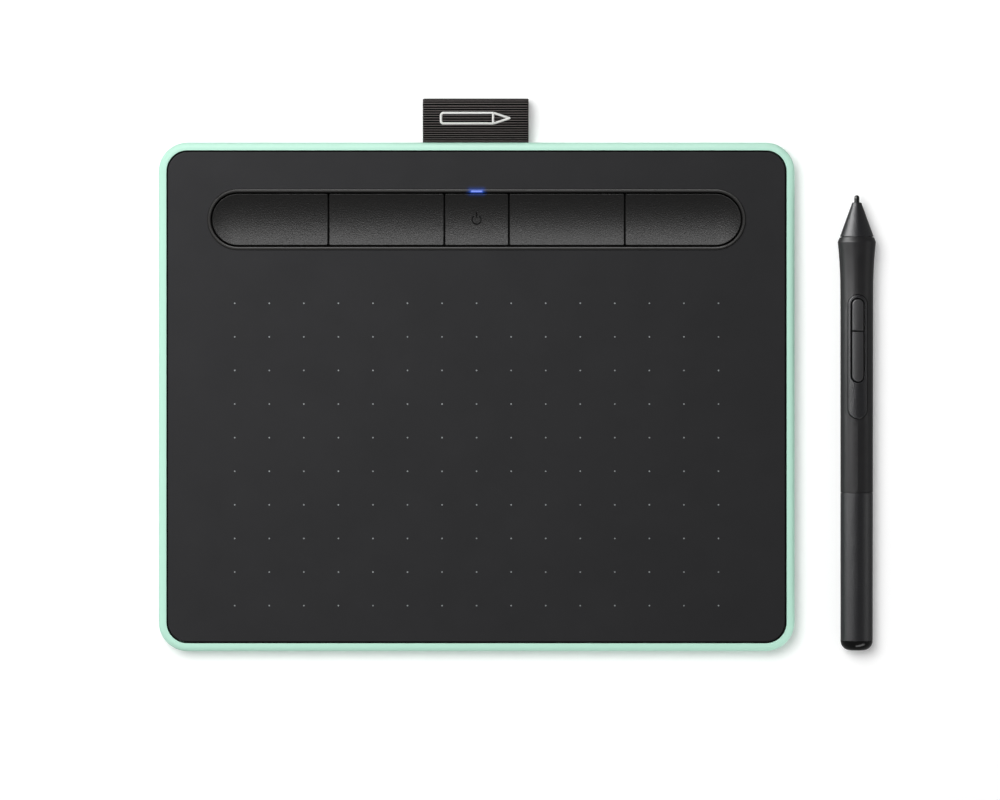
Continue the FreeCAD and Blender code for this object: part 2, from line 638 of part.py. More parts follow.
def dish(body, ends):
    """Scoops the top: one long round trough, closed at each end by a ball of the same radius."""
    centre = D.DishBottom + D.DishRadius
    trough = body.newObject("PartDesign::SubtractiveCylinder", "Trough")
    bind(trough, "Radius", D.DishRadius)
    bind(trough, "Height", D.KeyEndX * 2)
    trough.Placement.Rotation = FreeCAD.Rotation(V(0, 1, 0), 90)
    bind(trough, "Placement.Base.x", -D.KeyEndX)
    bind(trough, "Placement.Base.z", centre)
    for side in ends:
        ball = body.newObject("PartDesign::SubtractiveSphere", "DishEnd")
        bind(ball, "Radius", D.DishRadius)
        bind(ball, "Placement.Base.x", D.KeyEndX * side)
        bind(ball, "Placement.Base.z", centre)


def is_upright(edge):
    """Whether an edge is a straight line along Z."""
    return abs(edge.BoundBox.ZLength - edge.Length) < 1e-6


def round_corners(body):
    """Rounds the cap's upright corners; where a side runs on into an arc there is none."""
    def corner(edge):
        box = edge.BoundBox
        at_arc = abs(abs(box.XMin) - float(D.KeyEndX)) < 0.1
        return is_upright(edge) and box.ZMin > float(D.LipTop) - 0.01 and not at_arc
    fillet(body, D.KeyCorner, corner)


def soften(body):
    """Rounds the key's upper edges, which follow the dish."""
    def upper(edge):
        return edge.BoundBox.ZMin > float(D.LipTop) + 0.2 and not is_upright(edge)
    fillet(body, D.KeyEdge, upper)


def express_keys():
    """Four key caps. The outer two end in half circles; lips under the ridge hold them down."""
    half_gap = D.KeyGap / 2
    outer = D.KeyEndX, D.OuterDivider + half_gap
    inner = D.OuterDivider - half_gap, D.InnerDivider + half_gap
    names = {-1: ("express_key_1", "express_key_2"), 1: ("express_key_4", "express_key_3")}
    for side in (-1, 1):
        body = new_body(names[side][0], y=D.KeyRowY)
        for top, radius in ((D.KeyBlankTop, D.KeyHalf), (D.LipTop, D.KeyHalf + D.LipReach)):
            outline = sketch_on(body, "top", D.KeyBottom)
            half_stadium(outline, outer[1] * side, outer[0] * side, radius, 0)
            pad(body, outline, top - D.KeyBottom)
        round_corners(body)
        key_post(body, key_middle(0) * side)
        dish(body, [side])
        soften(body)
        body = new_body(names[side][1], y=D.KeyRowY)
        left, right = sorted((inner[0] * side, inner[1] * side), key=float)
        for top, radius in ((D.KeyBlankTop, D.KeyHalf), (D.LipTop, D.KeyHalf + D.LipReach)):
            outline = sketch_on(body, "top", D.KeyBottom)
            box_outline(outline, left, -radius, right, radius)
            pad(body, outline, top - D.KeyBottom)
        round_corners(body)
        key_post(body, key_middle(1) * side)
        dish(body, [])
        soften(body)


def key_middle(row):
    """Distance of a key's post from the middle of the tablet: outer key 0, inner key 1."""
    if row == 0:
        return (D.KeyEndX + D.KeyHalf + D.OuterDivider) / 2
    return (D.OuterDivider + D.InnerDivider) / 2


def key_post(body, x):
    post = sketch_on(body, "top", D.KeyPostBottom)
    circle(post, x, 0, D.KeyPostRadius)
    pad(body, post, D.KeyBottom - D.KeyPostBottom)


def power_button():
    """The middle key, with a sunk power symbol and its rear lip cut back for the light."""
    body = new_body("power_button", y=D.KeyRowY)
    half = D.InnerDivider - D.KeyGap / 2
    for top, radius in ((D.KeyBlankTop, D.KeyHalf), (D.LipTop, D.KeyHalf + D.LipReach)):
        outline = sketch_on(body, "top", D.KeyBottom)
        box_outline(outline, -half, -radius, half, radius)
        pad(body, outline, top - D.KeyBottom)
    round_corners(body)
    key_post(body, 0)
    relief = sketch_on(body, "top", D.LipTop)
    width = D.LightWidth / 2 + D.ReliefSpare
    box_outline(relief, -width, D.KeyHalf, width, D.KeyHalf + D.LipReach + D.CutOver)
    pocket(body, relief, D.LipTop - D.KeyBottom)
    dish(body, [])
    soften(body)

    symbol = sketch_on(body, "top", D.KeyBlankTop)
    outer, inner = D.SymbolRadius, D.SymbolRadius - D.SymbolLine
    start, end = 90 + float(D.SymbolGapAngle), 450 - float(D.SymbolGapAngle)
    first = symbol.GeometryCount
    arc(symbol, 0, D.SymbolY, outer, start, end)
    arc(symbol, 0, D.SymbolY, inner, start, end)
    far, near = symbol.Geometry[first], symbol.Geometry[first + 1]
    symbol.addGeometry(Part.LineSegment(far.StartPoint, near.StartPoint), False)
    symbol.addGeometry(Part.LineSegment(near.EndPoint, far.EndPoint), False)
    for a, a_end, b, b_end in ((0, 1, 2, 1), (2, 2, 1, 1), (1, 2, 3, 1), (3, 2, 0, 2)):
        symbol.addConstraint(Sketcher.Constraint("Coincident", first + a, a_end, first + b, b_end))
    at_point(symbol, first, 3, 0, D.SymbolY)
    symbol.addConstraint(Sketcher.Constraint("Coincident", first, 3, first + 1, 3))
    dimension(symbol, "Radius", (first,), outer)
    dimension(symbol, "Radius", (first + 1,), inner)
    half_line = D.SymbolLine / 2
    low, high = D.SymbolY + D.SymbolStemAt, D.SymbolY + D.SymbolRise
    box_outline(symbol, -half_line, low, half_line, high)
    pocket(body, symbol, D.KeyBlankTop - D.DishBottom + D.SymbolDepth)
    return body


def key_carrier():
    """The tray that guides the keys and stops their travel, staked to the deck at its corners."""
    body = new_body("key_carrier", y=D.KeyRowY)
    outline = sketch_on(body, "top", D.CarrierBottom)
    rounded_box(outline, D.CarrierHalfWidth, D.CarrierHalfDepth, D.CarrierRadius)
    pad(body, outline, deck_under - D.CarrierBottom)
    well = sketch_on(body, "top", deck_under)
    stadium(well, D.KeyEndX, D.KeyHalf + D.WellReach)
    pocket(body, well, deck_under - D.CarrierFloorTop)
    holes = sketch_on(body, "top", deck_under)
    for x in (-key_middle(0), -key_middle(1), size(0), key_middle(1), key_middle(0)):
        circle(holes, x, 0, D.PostHoleRadius)
    for sx, sy in CORNERS:
        circle(holes, D.PinX * sx, D.PinY * sy, D.PinRadius + D.RunningGap)
    half, half_depth = D.LightWidth / 2 + D.LightHoleSlack, D.LightDepth / 2 + D.LightHoleSlack
    box_outline(holes, -half, D.LightY - half_depth, half, D.LightY + half_depth)
    pocket(body, holes, deck_under - D.CarrierBottom + D.CutOver)
    return body


def light_guide():
    """The clear bar whose end shows in the ridge behind the power button."""
    half, half_depth = D.LightWidth / 2, D.LightDepth / 2
    middle = D.KeyRowY + D.LightY
    block("light_guide", -half, middle - half_depth, half, middle + half_depth,
          D.LightBottom, D.LightTop)


# ---------------------------------------------------------------- electronics

def key_domes():
    """A snap dome of thin steel under each key."""
    spots = (-key_middle(0), -key_middle(1), size(0), key_middle(1), key_middle(0))
    names = ("key_dome_1", "key_dome_2", "power_dome", "key_dome_3", "key_dome_4")
    for name, x in zip(names, spots):
        body = new_body(name, x=x, y=D.KeyRowY, z=board_top)
        profile = sketch_on(body, "front")
        radius, height, sheet, shoulder = D.DomeRadius, D.DomeHeight, D.DomeSheet, D.DomeShoulder
        polygon(profile, [
            (0, height), (radius / 2, shoulder), (radius, 0), (radius - sheet * 2, 0),
            (radius / 2 - sheet / 2, shoulder - sheet), (0, height - sheet),
        ])
        turn(body, profile, "V_Axis")


def boards_and_chips():
    """Main board with what is soldered to it, and the coil board with its shield plate."""
    main = new_body("main_board")
    outline = sketch_on(main, "top", case_floor_top)
    box_outline(outline, D.BoardLeft, D.BoardFront, D.BoardRight, D.BoardRear)
    pad(main, outline, D.BoardThick)

    half = D.ControllerSide / 2
    block("controller_chip", D.ControllerX - half, D.ControllerY - half, D.ControllerX + half,
          D.ControllerY + half, board_top, board_top + D.ControllerThick)
    half, half_depth = D.RadioWidth / 2, D.RadioDepth / 2
    block("radio_module", D.RadioX - half, D.RadioY - half_depth, D.RadioX + half,
          D.RadioY + half_depth, board_top, board_top + D.RadioThick)
    half, half_depth, middle = D.LedWidth / 2, D.LedDepth / 2, D.KeyRowY + D.LightY
    block("status_led", -half, middle - half_depth, half, middle + half_depth,
          board_top, board_top + D.LedThick)
    half = D.SocketWidth / 2
    block("flex_socket", D.FlexX - half, D.SocketFront, D.FlexX + half,
          D.SocketFront + D.SocketDepth, board_top, board_top + D.SocketHeight)
    half = D.LeadPlugWidth / 2
    block("battery_connector", D.LeadX - half, D.LeadPlugFront, D.LeadX + half,
          D.LeadPlugFront + D.LeadPlugDepth, board_top, board_top + D.SocketHeight)

    inset, wide = D.ShieldInset, D.SensorHalfWidth
    block("shield_plate", -wide + inset, D.SensorFront + inset, wide - inset,
          D.SensorRear - inset, D.RibTop, D.RibTop + D.ShieldThick, rounding=D.PlateCorner)
    bottom = D.RibTop + D.ShieldThick
    block("sensor_board", -wide, D.SensorFront, wide, D.SensorRear, bottom,
          bottom + D.SensorThick, rounding=D.PlateCorner)
    half = D.BatteryWidth / 2
    block("battery", -half, D.BatteryY - D.BatteryDepth / 2, half,
          D.BatteryY + D.BatteryDepth / 2, case_floor_top, case_floor_top + D.BatteryThick,
          rounding=D.BatteryRounding)


def rounded_path(points, radii):
    """Straight runs through the points, joined by tangent arcs of the given radii."""
    edges, start = [], points[0]
    for before, corner, after, radius in zip(points, points[1:], points[2:], radii):
        inward, outward = (before - corner).normalize(), (after - corner).normalize()
        half = inward.getAngle(outward) / 2
        run = radius / math.tan(half)
        first, last = corner + inward * run, corner + outward * run
        middle = (inward + outward).normalize() * (radius / math.sin(half) - radius) + corner
        edges.append(Part.LineSegment(start, first).toShape())
        edges.append(Part.Arc(first, middle, last).toShape())
        start = last
    edges.append(Part.LineSegment(start, points[-1]).toShape())
    return Part.Wire(edges)


def strip(points, radii, width, thickness):
    """A flat ribbon of one width, in the YZ plane's side view, along a rounded path."""
    start, half, lift = points[0], width / 2, thickness / 2
    corners = [V(-half, 0, -lift), V(half, 0, -lift), V(half, 0, lift), V(-half, 0, lift)]
    profile = Part.makePolygon([start + c for c in corners + corners[:1]])
    return rounded_path(points, radii).makePipeShell([profile], True, False)


def sensor_flex():
    """The ribbon from the coil board down to its socket on the main board."""
    x, high, low = float(D.FlexX), float(D.FlexTop), float(D.FlexLow)
    rear, front = float(D.SensorRear), float(D.SocketFront)
    step = (front - rear) / 3
    points = [V(x, rear, high), V(x, rear + step, high), V(x, front - step, low), V(x, front, low)]
    bends = [float(D.FlexBend)] * 2
    shape_piece("sensor_flex", strip(points, bends, float(D.FlexWidth), float(D.FlexThick)))


def battery_leads():
    """Two short wires from the battery to its plug, clipped under the sensor."""
    radius, pitch, x = float(D.LeadRadius), float(D.LeadPitch), float(D.LeadX)
    rear = float(D.BatteryY + D.BatteryDepth / 2)
    plug = float(D.LeadPlugFront)
    low = float(board_top + D.LeadRadius + D.RunningGap)
    high = float(case_floor_top + D.BatteryThick / 2)
    run, jog, plug_run = float(D.LeadRun), float(D.LeadJog), float(D.LeadPlugRun)
    wires = []
    for side in (-0.5, 0.5):
        at = x + side * pitch
        points = [V(at, rear, high), V(at, rear + run, high), V(at - jog, rear + run * 2, high),
                  V(at, plug - plug_run, low), V(at, plug, low)]
        path = rounded_path(points, [float(D.LeadBend)] * 3)
        ring = Part.Wire(Part.makeCircle(radius, points[0], V(0, 1, 0)))
        wires.append(path.makePipeShell([ring], True, False))
    shape_piece("battery_leads", Part.makeCompound(wires))


def usb_outline(sketch, half, low, high, corner):
    """The socket's section: square above, corners cut below."""
    y = D.KeyRowY
    polygon(sketch, [
        (y - half + corner, low), (y + half - corner, low), (y + half, low + corner),
        (y + half, high), (y - half, high), (y - half, low + corner),
    ])


def usb_socket():
    """The metal shell, open to the left edge, and the contact tongue inside it."""
    body = new_body("usb_shell")
    back = D.UsbMouthX + D.UsbDepth
    half, half_height, middle = D.UsbWidth / 2, D.UsbHeight / 2, usb_middle()
    outer = sketch_on(body, "side", D.UsbMouthX)
    usb_outline(outer, half, middle - half_height, middle + half_height, D.UsbCorner)
    pad(body, outer, D.UsbDepth)
    mouth = sketch_on(body, "side", D.UsbMouthX)
    sheet = D.UsbSheet
    usb_outline(mouth, half - sheet, middle - half_height + sheet, middle + half_height - sheet,
                D.UsbCorner - sheet / 2)
    pocket(body, mouth, D.UsbDepth - sheet, up=True)

    tongue = new_body("usb_tongue")
    root = sketch_on(tongue, "side", back - sheet - D.TongueRoot)
    inset = sheet + D.RunningGap
    usb_outline(root, half - inset, middle - half_height + inset, middle + half_height - inset,
                D.UsbCorner - sheet / 2)
    pad(tongue, root, D.TongueRoot)
    blade = sketch_on(tongue, "side", back - sheet - D.TongueReach)
    half = D.TongueWidth / 2
    low = middle - D.TongueThick / 2 + D.TongueRise
    box_outline(blade, D.KeyRowY - half, low, D.KeyRowY + half, low + D.TongueThick)
    pad(tongue, blade, D.TongueReach - D.TongueRoot / 2)


# ---------------------------------------------------------------- the pen loop

def pen_loop():
    """Elastic webbing folded into a flat loop, both ends held inside the rear wall."""
    rear = D.TabletDepth / 2
    nose = rear + D.LoopReach - D.LoopThick / 2
    corners = [
        (D.LoopStart, D.LoopUpper), (rear + D.LoopRiseAt, D.LoopUpper),
        (rear + D.LoopCrownAt, D.LoopCrown), (nose, D.LoopCrown - D.LoopNoseDrop),
        (nose, D.LoopKeel + D.LoopNoseLift), (rear + D.LoopKeelAt, D.LoopKeel),
        (rear + D.LoopFallAt, D.LoopLower), (D.LoopStart, D.LoopLower),
    ]
    points = [V(float(D.LoopX), float(y), float(z)) for y, z in corners]
    bends = (D.LoopRiseBend, D.LoopCrownBend, D.LoopNoseBend, D.LoopNoseBend, D.LoopKeelBend,
             D.LoopFallBend)
    radii = [float(bend) for bend in bends]
    shape_piece("pen_loop", strip(points, radii, float(D.LoopWidth), float(D.LoopThick)))


def loop_clamp():
    """The bar that presses the webbing's two ends onto the case, and its two screws."""
    body = new_body("loop_clamp")
    bottom = D.LoopUpper + D.LoopThick / 2
    outline = sketch_on(body, "top", bottom)
    box_outline(outline, -D.ClampHalfWidth, D.ClampFront, D.ClampHalfWidth, D.ClampRear)
    pad(body, outline, D.ClampTop - bottom)
    webbing = D.LoopWidth / 2 + D.ClampSlack
    for side in RIGHT_LEFT:
        leg = sketch_on(body, "top", D.LedgeTop)
        left, right = sorted((webbing * side, D.ClampHalfWidth * side), key=float)
        box_outline(leg, left, D.ClampFront, right, D.ClampRear)
        pad(body, leg, bottom - D.LedgeTop)
    for level, radius, depth in (
        (D.ClampTop, D.ClampHeadRadius + D.FootSlack, D.ClampHeadHeight),
        (D.ClampTop - D.ClampHeadHeight, D.ClampScrewRadius + D.RunningGap,
         D.ClampTop - D.LedgeTop),
    ):
        holes = sketch_on(body, "top", level)
        for side in RIGHT_LEFT:
            circle(holes, D.ClampScrewX * side, D.ClampScrewY, radius)
        pocket(body, holes, depth)

    made = []
    for side in RIGHT_LEFT:
        shank = doc.addObject("Part::Cylinder", "ClampShank")
        bind(shank, "Radius", D.ClampScrewRadius)
        bind(shank, "Height", D.ClampTop - D.ClampScrewLow)
        head = doc.addObject("Part::Cylinder", "ClampHead")
        bind(head, "Radius", D.ClampHeadRadius)
        bind(head, "Height", D.ClampHeadHeight)
        for part, z in ((shank, D.ClampScrewLow), (head, D.ClampTop - D.ClampHeadHeight)):
            bind(part, "Placement.Base.x", D.ClampScrewX * side)
            bind(part, "Placement.Base.y", D.ClampScrewY)
            bind(part, "Placement.Base.z", z)
        fused = doc.addObject("Part::Fuse", "ClampScrew")
        fused.Base, fused.Tool = head, shank
        made.append(fused)
    group = doc.addObject("Part::Compound", "clamp_screws")
    group.Label = "clamp_screws"
    group.Links = made
    PIECES.append(group)
    place(group, "tablet")


# ---------------------------------------------------------------- the pen

def turned(label, points):
    """A pen piece turned about the pen's axis from (distance from tail, radius) corners."""
    body = new_body(label, "pen")
    profile = sketch_on(body, "side")
    polygon(profile, points)
    turn(body, profile)
    return body


def nib_profile(rear, length, radius):
    """A thin rod with a rounded point."""
    tip = rear + length
    return [
        (rear, 0), (rear, radius * 0.85), (rear + radius * 0.3, radius),
        (tip - radius * 1.2, radius), (tip - radius * 0.45, radius * 0.86),
        (tip - radius * 0.1, radius * 0.5), (tip, 0),
    ]


def pen_outside():
    """Nose cone, the two barrels and the tail cap."""
    seam = D.ConeAt + D.SeamWidth
    cone = turned("pen_nose_cone", [
        (D.ConeSpigotAt, D.ConeWall), (D.ConeSpigotAt, D.ConeSpigotRadius),
        (D.ConeAt, D.ConeSpigotRadius), (D.ConeAt, D.ConeRadius - D.SeamDepth),
        (seam, D.ConeRadius - D.SeamDepth), (seam, D.ConeRadius - D.SeamDrop),
        (D.ConeTipAt, D.ConeTipRadius), (D.ConeTipAt, D.ConeBore),
        (D.ConeBoreAt, D.ConeBore), (D.ConeCavityAt, D.ConeWall),
    ])
    fillet(cone, D.ConeEdge, ring_edges(D.ConeTipAt, D.ConeTipRadius))
    fillet(cone, D.SeamEdge, ring_edges(seam, D.ConeRadius - D.SeamDrop))

    front = new_body("pen_front_barrel", "pen")
    neck_outline(sketch_on(front, "side"))
    turn(front, front.Group[0])
    fillet(front, D.ShoulderRounding, ring_edges(D.ShoulderAt, D.ShoulderRadius, 0.05))
    fillet(front, D.SeamEdge, ring_edges(D.ConeAt, D.ConeRadius))
    top = D.ShoulderRadius + D.CutOver
    window = sketch_on(front, "top", top)
    middle, half_run = panel_run()
    stadium(window, half_run, D.PanelHalf + D.PanelGap, y=middle, along_x=False)
    pocket(front, window, top - D.PanelBottom + D.PanelClear)

    rear_end = D.SplitAt - D.SplitGap
    rear = turned("pen_rear_barrel", [
        (D.CapLength, D.RearBore), (D.CapLength, D.TailRadius),
        (rear_end, D.BarrelRadius), (rear_end, D.RearBore),
    ])
    fillet(rear, D.SplitEdge, ring_edges(rear_end, D.BarrelRadius))

    cap = new_body("pen_tail_cap", "pen")
    outline = sketch_on(cap, "side")
    plug = D.RearBore - D.RunningGap / 2
    polygon(outline, [
        (0, 0), (0, D.TailRadius), (D.CapLength, D.TailRadius), (D.CapLength, plug),
        (D.CapPlugEnd, plug), (D.CapPlugEnd, 0),
    ])
    turn(cap, outline)
    fillet(cap, D.CapRounding, ring_edges(0, D.TailRadius))
    hole = sketch_on(cap, "front")
    circle(hole, 0, 0, D.NibPullRadius)
    pocket(cap, hole, D.NibPullDepth)
    fillet(cap, D.HoleEdge, ring_edges(0, D.NibPullRadius))


def neck_outline(sketch):
    """Half the front barrel's section; the waist before the shoulder is one arc tangent to it."""
    run = D.ShoulderAt - D.NeckAt
    rise = D.ShoulderRadius - D.BarrelFrontRadius
    bend = (run * run + rise * rise) / (rise * 2)
    centre = V(float(D.NeckAt), float(D.BarrelFrontRadius + bend), 0)
    sweep = math.asin(float(run) / float(bend))
    points = [
        (D.NeckAt, D.BarrelFrontRadius), (D.SplitAt, D.BarrelRadius), (D.SplitAt, D.BarrelBore),
        (D.ConeAt, D.BarrelBore), (D.ConeAt, D.ConeRadius), (D.ShoulderAt, D.ShoulderRadius),
    ]
    ends = [V(float(x), float(y), 0) for x, y in points]
    for a, b in zip(ends, ends[1:]):
        sketch.addGeometry(Part.LineSegment(a, b), False)
    whole = Part.Circle(centre, V(0, 0, 1), float(bend))
    low = -math.pi / 2
    waist = sketch.addGeometry(Part.ArcOfCircle(whole, low, low + sweep), False)
    for i in range(len(ends) - 2):
        sketch.addConstraint(Sketcher.Constraint("Coincident", i, 2, i + 1, 1))
    sketch.addConstraint(Sketcher.Constraint("Coincident", len(ends) - 2, 2, waist, 2))
    sketch.addConstraint(Sketcher.Constraint("Coincident", waist, 1, 0, 1))
    for i, (x, y) in enumerate(points[:-1]):
        at_point(sketch, i, 1, x, y)
    at_point(sketch, waist, 2, D.ShoulderAt, D.ShoulderRadius)
    dimension(sketch, "Radius", (waist,), bend)


def panel_run():
    """Middle and half run of the stadium that holds the side buttons."""
    return (D.PanelFront + D.PanelRear) / 2, (D.PanelFront - D.PanelRear) / 2 - D.PanelHalf


def skin(label, radius):
    """A long round bar along the pen's axis, to trim a piece to the barrel's curve."""
    bar = doc.addObject("Part::Cylinder", label + "Skin")
    bind(bar, "Radius", radius)
    bind(bar, "Height", D.PenLength)
    bar.Placement.Rotation = FreeCAD.Rotation(V(1, 0, 0), -90)
    return bar


def trimmed(label, blank, radius, edge):
    """The part of a blank that lies inside the round bar, with its upper edges rounded."""
    kept = doc.addObject("Part::Common", label + "Trimmed")
    kept.Base, kept.Tool = blank, skin(label, radius)
    doc.recompute()
    rounded = doc.addObject("Part::Fillet", label)
    rounded.Label = label
    rounded.Base = kept
    top = float(radius) * 0.8

    def upper(e):
        return e.BoundBox.ZMin > top and e.BoundBox.ZMax > top
    chosen = [i for i, e in enumerate(kept.Shape.Edges, start=1) if upper(e)]
    rounded.Edges = [(i, float(edge), float(edge)) for i in chosen]
    PIECES.append(rounded)
    place(rounded, "pen")


def button_panel():
    """The raised stadium-shaped mounting with an opening for the two side buttons."""
    blank = doc.addObject("PartDesign::Body", "PanelBlank")
    middle, half_run = panel_run()
    outline = sketch_on(blank, "top", D.PanelBottom)
    stadium(outline, half_run, D.PanelHalf, y=middle, along_x=False)
    opening_middle = (D.ButtonFront + D.ButtonRear) / 2
    opening_run = (D.ButtonFront - D.ButtonRear) / 2 - D.ButtonHalf
    stadium(outline, opening_run, D.ButtonHalf + D.ButtonSlack, y=opening_middle, along_x=False)
    pad(blank, outline, D.PanelRadius)
    trimmed("pen_button_panel", blank, D.PanelRadius, D.PanelEdge)


def side_buttons():
    """Two caps that share one stadium outline, parted by a narrow gap, each with a lip below."""
    half_gap = D.ButtonGap / 2
    ends = {
        "pen_upper_button": (D.ButtonSplit + half_gap, D.ButtonFront - D.ButtonHalf, 1),
        "pen_lower_button": (D.ButtonSplit - half_gap, D.ButtonRear + D.ButtonHalf, -1),
    }
    for label, (flat, centre, side) in ends.items():
        blank = doc.addObject("PartDesign::Body", label + "Blank")
        cap = sketch_on(blank, "top", D.ButtonBottom)
        upright_half_stadium(cap, flat, centre, D.ButtonHalf, side)
        pad(blank, cap, D.ButtonTopRadius)
        lip = sketch_on(blank, "top", D.ButtonBottom)
        upright_half_stadium(lip, flat, centre, D.ButtonLipHalf, side)
        pad(blank, lip, D.ButtonLipTop - D.ButtonBottom)
        trimmed(label, blank, D.ButtonTopRadius, D.ButtonEdge)


def upright_half_stadium(sketch, flat, centre, radius, side):
    """As half_stadium, but lying along the sketch's Y axis."""
    first = sketch.GeometryCount
    start = 0 if side > 0 else 180
    arc(sketch, 0, centre, radius, start, start + 180)
    bent = sketch.Geometry[first]
    far, near = V(bent.EndPoint.x, float(flat), 0), V(bent.StartPoint.x, float(flat), 0)
    for a, b in ((bent.EndPoint, far), (far, near), (near, bent.StartPoint)):
        sketch.addGeometry(Part.LineSegment(a, b), False)
    sketch.addConstraint(Sketcher.Constraint("Tangent", first, 2, first + 1, 1))
    sketch.addConstraint(Sketcher.Constraint("Coincident", first + 1, 2, first + 2, 1))
    sketch.addConstraint(Sketcher.Constraint("Coincident", first + 2, 2, first + 3, 1))
    sketch.addConstraint(Sketcher.Constraint("Tangent", first + 3, 2, first, 1))
    sketch.addConstraint(Sketcher.Constraint("Horizontal", first + 2))
    at_point(sketch, first, 3, 0, centre)
    dimension(sketch, "Radius", (first,), radius)
    dimension(sketch, "DistanceY", (-1, 1, first + 2, 1), flat)


def pen_chassis():
    """The inner carrier: board trough, sensor bay, spigot for the rear barrel, spare-nib holes."""
    body = turned("pen_chassis", [
        (D.ChassisRear, 0), (D.ChassisRear, D.SpigotRadius), (D.ChassisStep, D.SpigotRadius),
        (D.ChassisStep, D.ChassisRadius), (D.ChassisFront, D.ChassisRadius),
        (D.ChassisFront, D.FerriteRadius + D.RunningGap),
        (D.FerriteBoreAt, D.FerriteRadius + D.RunningGap), (D.FerriteBoreAt, D.SensorBore),
        (D.TroughFront, D.SensorBore), (D.TroughFront, 0),
    ])
    trough = sketch_on(body, "top", D.ChassisRadius)
    half = D.ChassisRadius + D.CutOver
    box_outline(trough, -half, D.TroughRear, half, D.TroughFront)
    pocket(body, trough, D.ChassisRadius - D.TroughFloor)
    window = sketch_on(body, "top", D.ChassisRadius)
    half = D.ButtonLipHalf + D.LipClear
    rear, front = D.TroughFront - D.WindowRear, D.ButtonFront + D.WindowFront
    box_outline(window, -half, rear, half, front)
    pocket(body, window, D.ChassisRadius - D.ButtonBottom + D.PanelClear)
    # a front sketch faces -Y, so a negative level lies ahead of the tail
    holes = sketch_on(body, "front", 0 - D.ChassisRear)
    for x, z in spare_spots():
        circle(holes, x, z, D.SpareHole)
    pocket(body, holes, D.SpareHoleFront - D.ChassisRear)


def spare_spots():
    """Where the spare nibs sit, evenly round the pen's axis."""
    count = int(float(D.SpareCount))
    turns = [math.radians(90 + 360 / count * i) for i in range(count)]
    return [(D.SpareRing * math.cos(a), D.SpareRing * math.sin(a)) for a in turns]


def pen_inside():
    """Board, switches, coil, nib holder, pressure sensor and nibs."""
    nib_length = D.PenLength - D.NibRear
    turned("pen_nib", nib_profile(D.NibRear, nib_length, D.NibRadius))
    turned("nib_holder", [
        (D.HolderRear, 0), (D.HolderRear, D.HolderRodRadius),
        (D.HolderCupRear, D.HolderRodRadius), (D.HolderCupRear, D.HolderCupRadius),
        (D.HolderCupFront, D.HolderCupRadius), (D.HolderCupFront, D.NibSocket),
        (D.NibRear, D.NibSocket), (D.NibRear, 0),
    ])
    turned("ferrite_core", [
        (D.FerriteRear, D.FerriteBore), (D.FerriteRear, D.FerriteRadius),
        (D.FerriteFront, D.FerriteRadius), (D.FerriteFront, D.FerriteBore),
    ])
    turned("pen_coil", [
        (D.CoilRear, D.FerriteRadius), (D.CoilRear, D.CoilRadius),
        (D.CoilFront, D.CoilRadius), (D.CoilFront, D.FerriteRadius),
    ])
    turned("pressure_pad", [
        (D.PressureFront, 0), (D.PressureFront, D.PadRadius),
        (D.HolderRear, D.PadRadius * 0.7), (D.HolderRear, 0),
    ])
    turned("pressure_sensor", [
        (D.PressureRear, 0), (D.PressureRear, D.PressureRadius),
        (D.PressureFront, D.PressureRadius), (D.PressureFront, 0),
    ])

    board = new_body("pen_board", "pen")
    outline = sketch_on(board, "top", D.TroughFloor)
    half = D.PenBoardHalf
    box_outline(outline, -half, D.PenBoardRear, half, D.PenBoardFront)
    pad(board, outline, D.PenBoardThick)
    for label, at in (("upper_switch", D.UpperSwitchAt), ("lower_switch", D.LowerSwitchAt)):
        switch = new_body(label, "pen")
        outline = sketch_on(switch, "top", D.TroughFloor + D.PenBoardThick)
        half, length = D.PenSwitchHalf, D.PenSwitchLength / 2
        box_outline(outline, -half, at - length, half, at + length)
        pad(switch, outline, D.PenSwitchHeight)

    for number, (x, z) in enumerate(spare_spots(), start=1):
        spare = new_body(f"spare_nib_{number}", "pen")
        profile = sketch_on(spare, "side")
        # its point faces the tail, so the profile is the nib's turned about
        polygon(profile, [
            (D.SpareRear + D.SpareLength - (s - D.SpareRear), r)
            for s, r in nib_profile(D.SpareRear, D.SpareLength, D.NibRadius)
        ])
        turn(spare, profile)
        lean = math.radians(float(D.PenTilt))
        bind(spare, "Placement.Base.x", D.PenX + x)
        bind(spare, "Placement.Base.y", D.PenY - z * math.sin(lean))
        bind(spare, "Placement.Base.z", D.PenZ + z * math.cos(lean))


# ---------------------------------------------------------------- build, check and write

def check():
    """Stops at a failed feature, a cut that removes nothing, or a bad shape."""
    for thing in doc.Objects:
        if any(word in state for state in thing.State for word in ("Invalid", "Error")):
            raise SystemExit(f"{thing.Name} in {thing.InListRecursive} failed: {thing.State}")
        if thing.TypeId in ("PartDesign::Pocket", "PartDesign::SubtractiveCylinder",
                            "PartDesign::SubtractiveSphere"):
            removed = thing.BaseFeature.Shape.Volume - thing.Shape.Volume
            if removed < 1e-4:
                owner = [o.Label for o in thing.InList]
                raise SystemExit(f"{thing.Name} in {owner} cuts nothing")
    for piece in PIECES:
        shape = piece.Shape
        if shape.isNull() or not shape.isValid() or not shape.Solids:
            raise SystemExit(f"{piece.Label} has no valid solid")


def write():
    os.makedirs("parts", exist_ok=True)
    for old in os.listdir("parts"):
        os.remove(os.path.join("parts", old))
    for piece in PIECES:
        piece.Shape.exportStep(os.path.join("parts", piece.Label + ".step"))


bottom_case()
deck_panel()
feet()
case_screws()
key_bezel()
express_keys()
power_button()
key_carrier()
light_guide()
key_domes()
boards_and_chips()
sensor_flex()
battery_leads()
usb_socket()
pen_loop()
loop_clamp()
pen_outside()
button_panel()
side_buttons()
pen_chassis()
pen_inside()
doc.recompute()
check()
write()
print(len(PIECES), "pieces written")
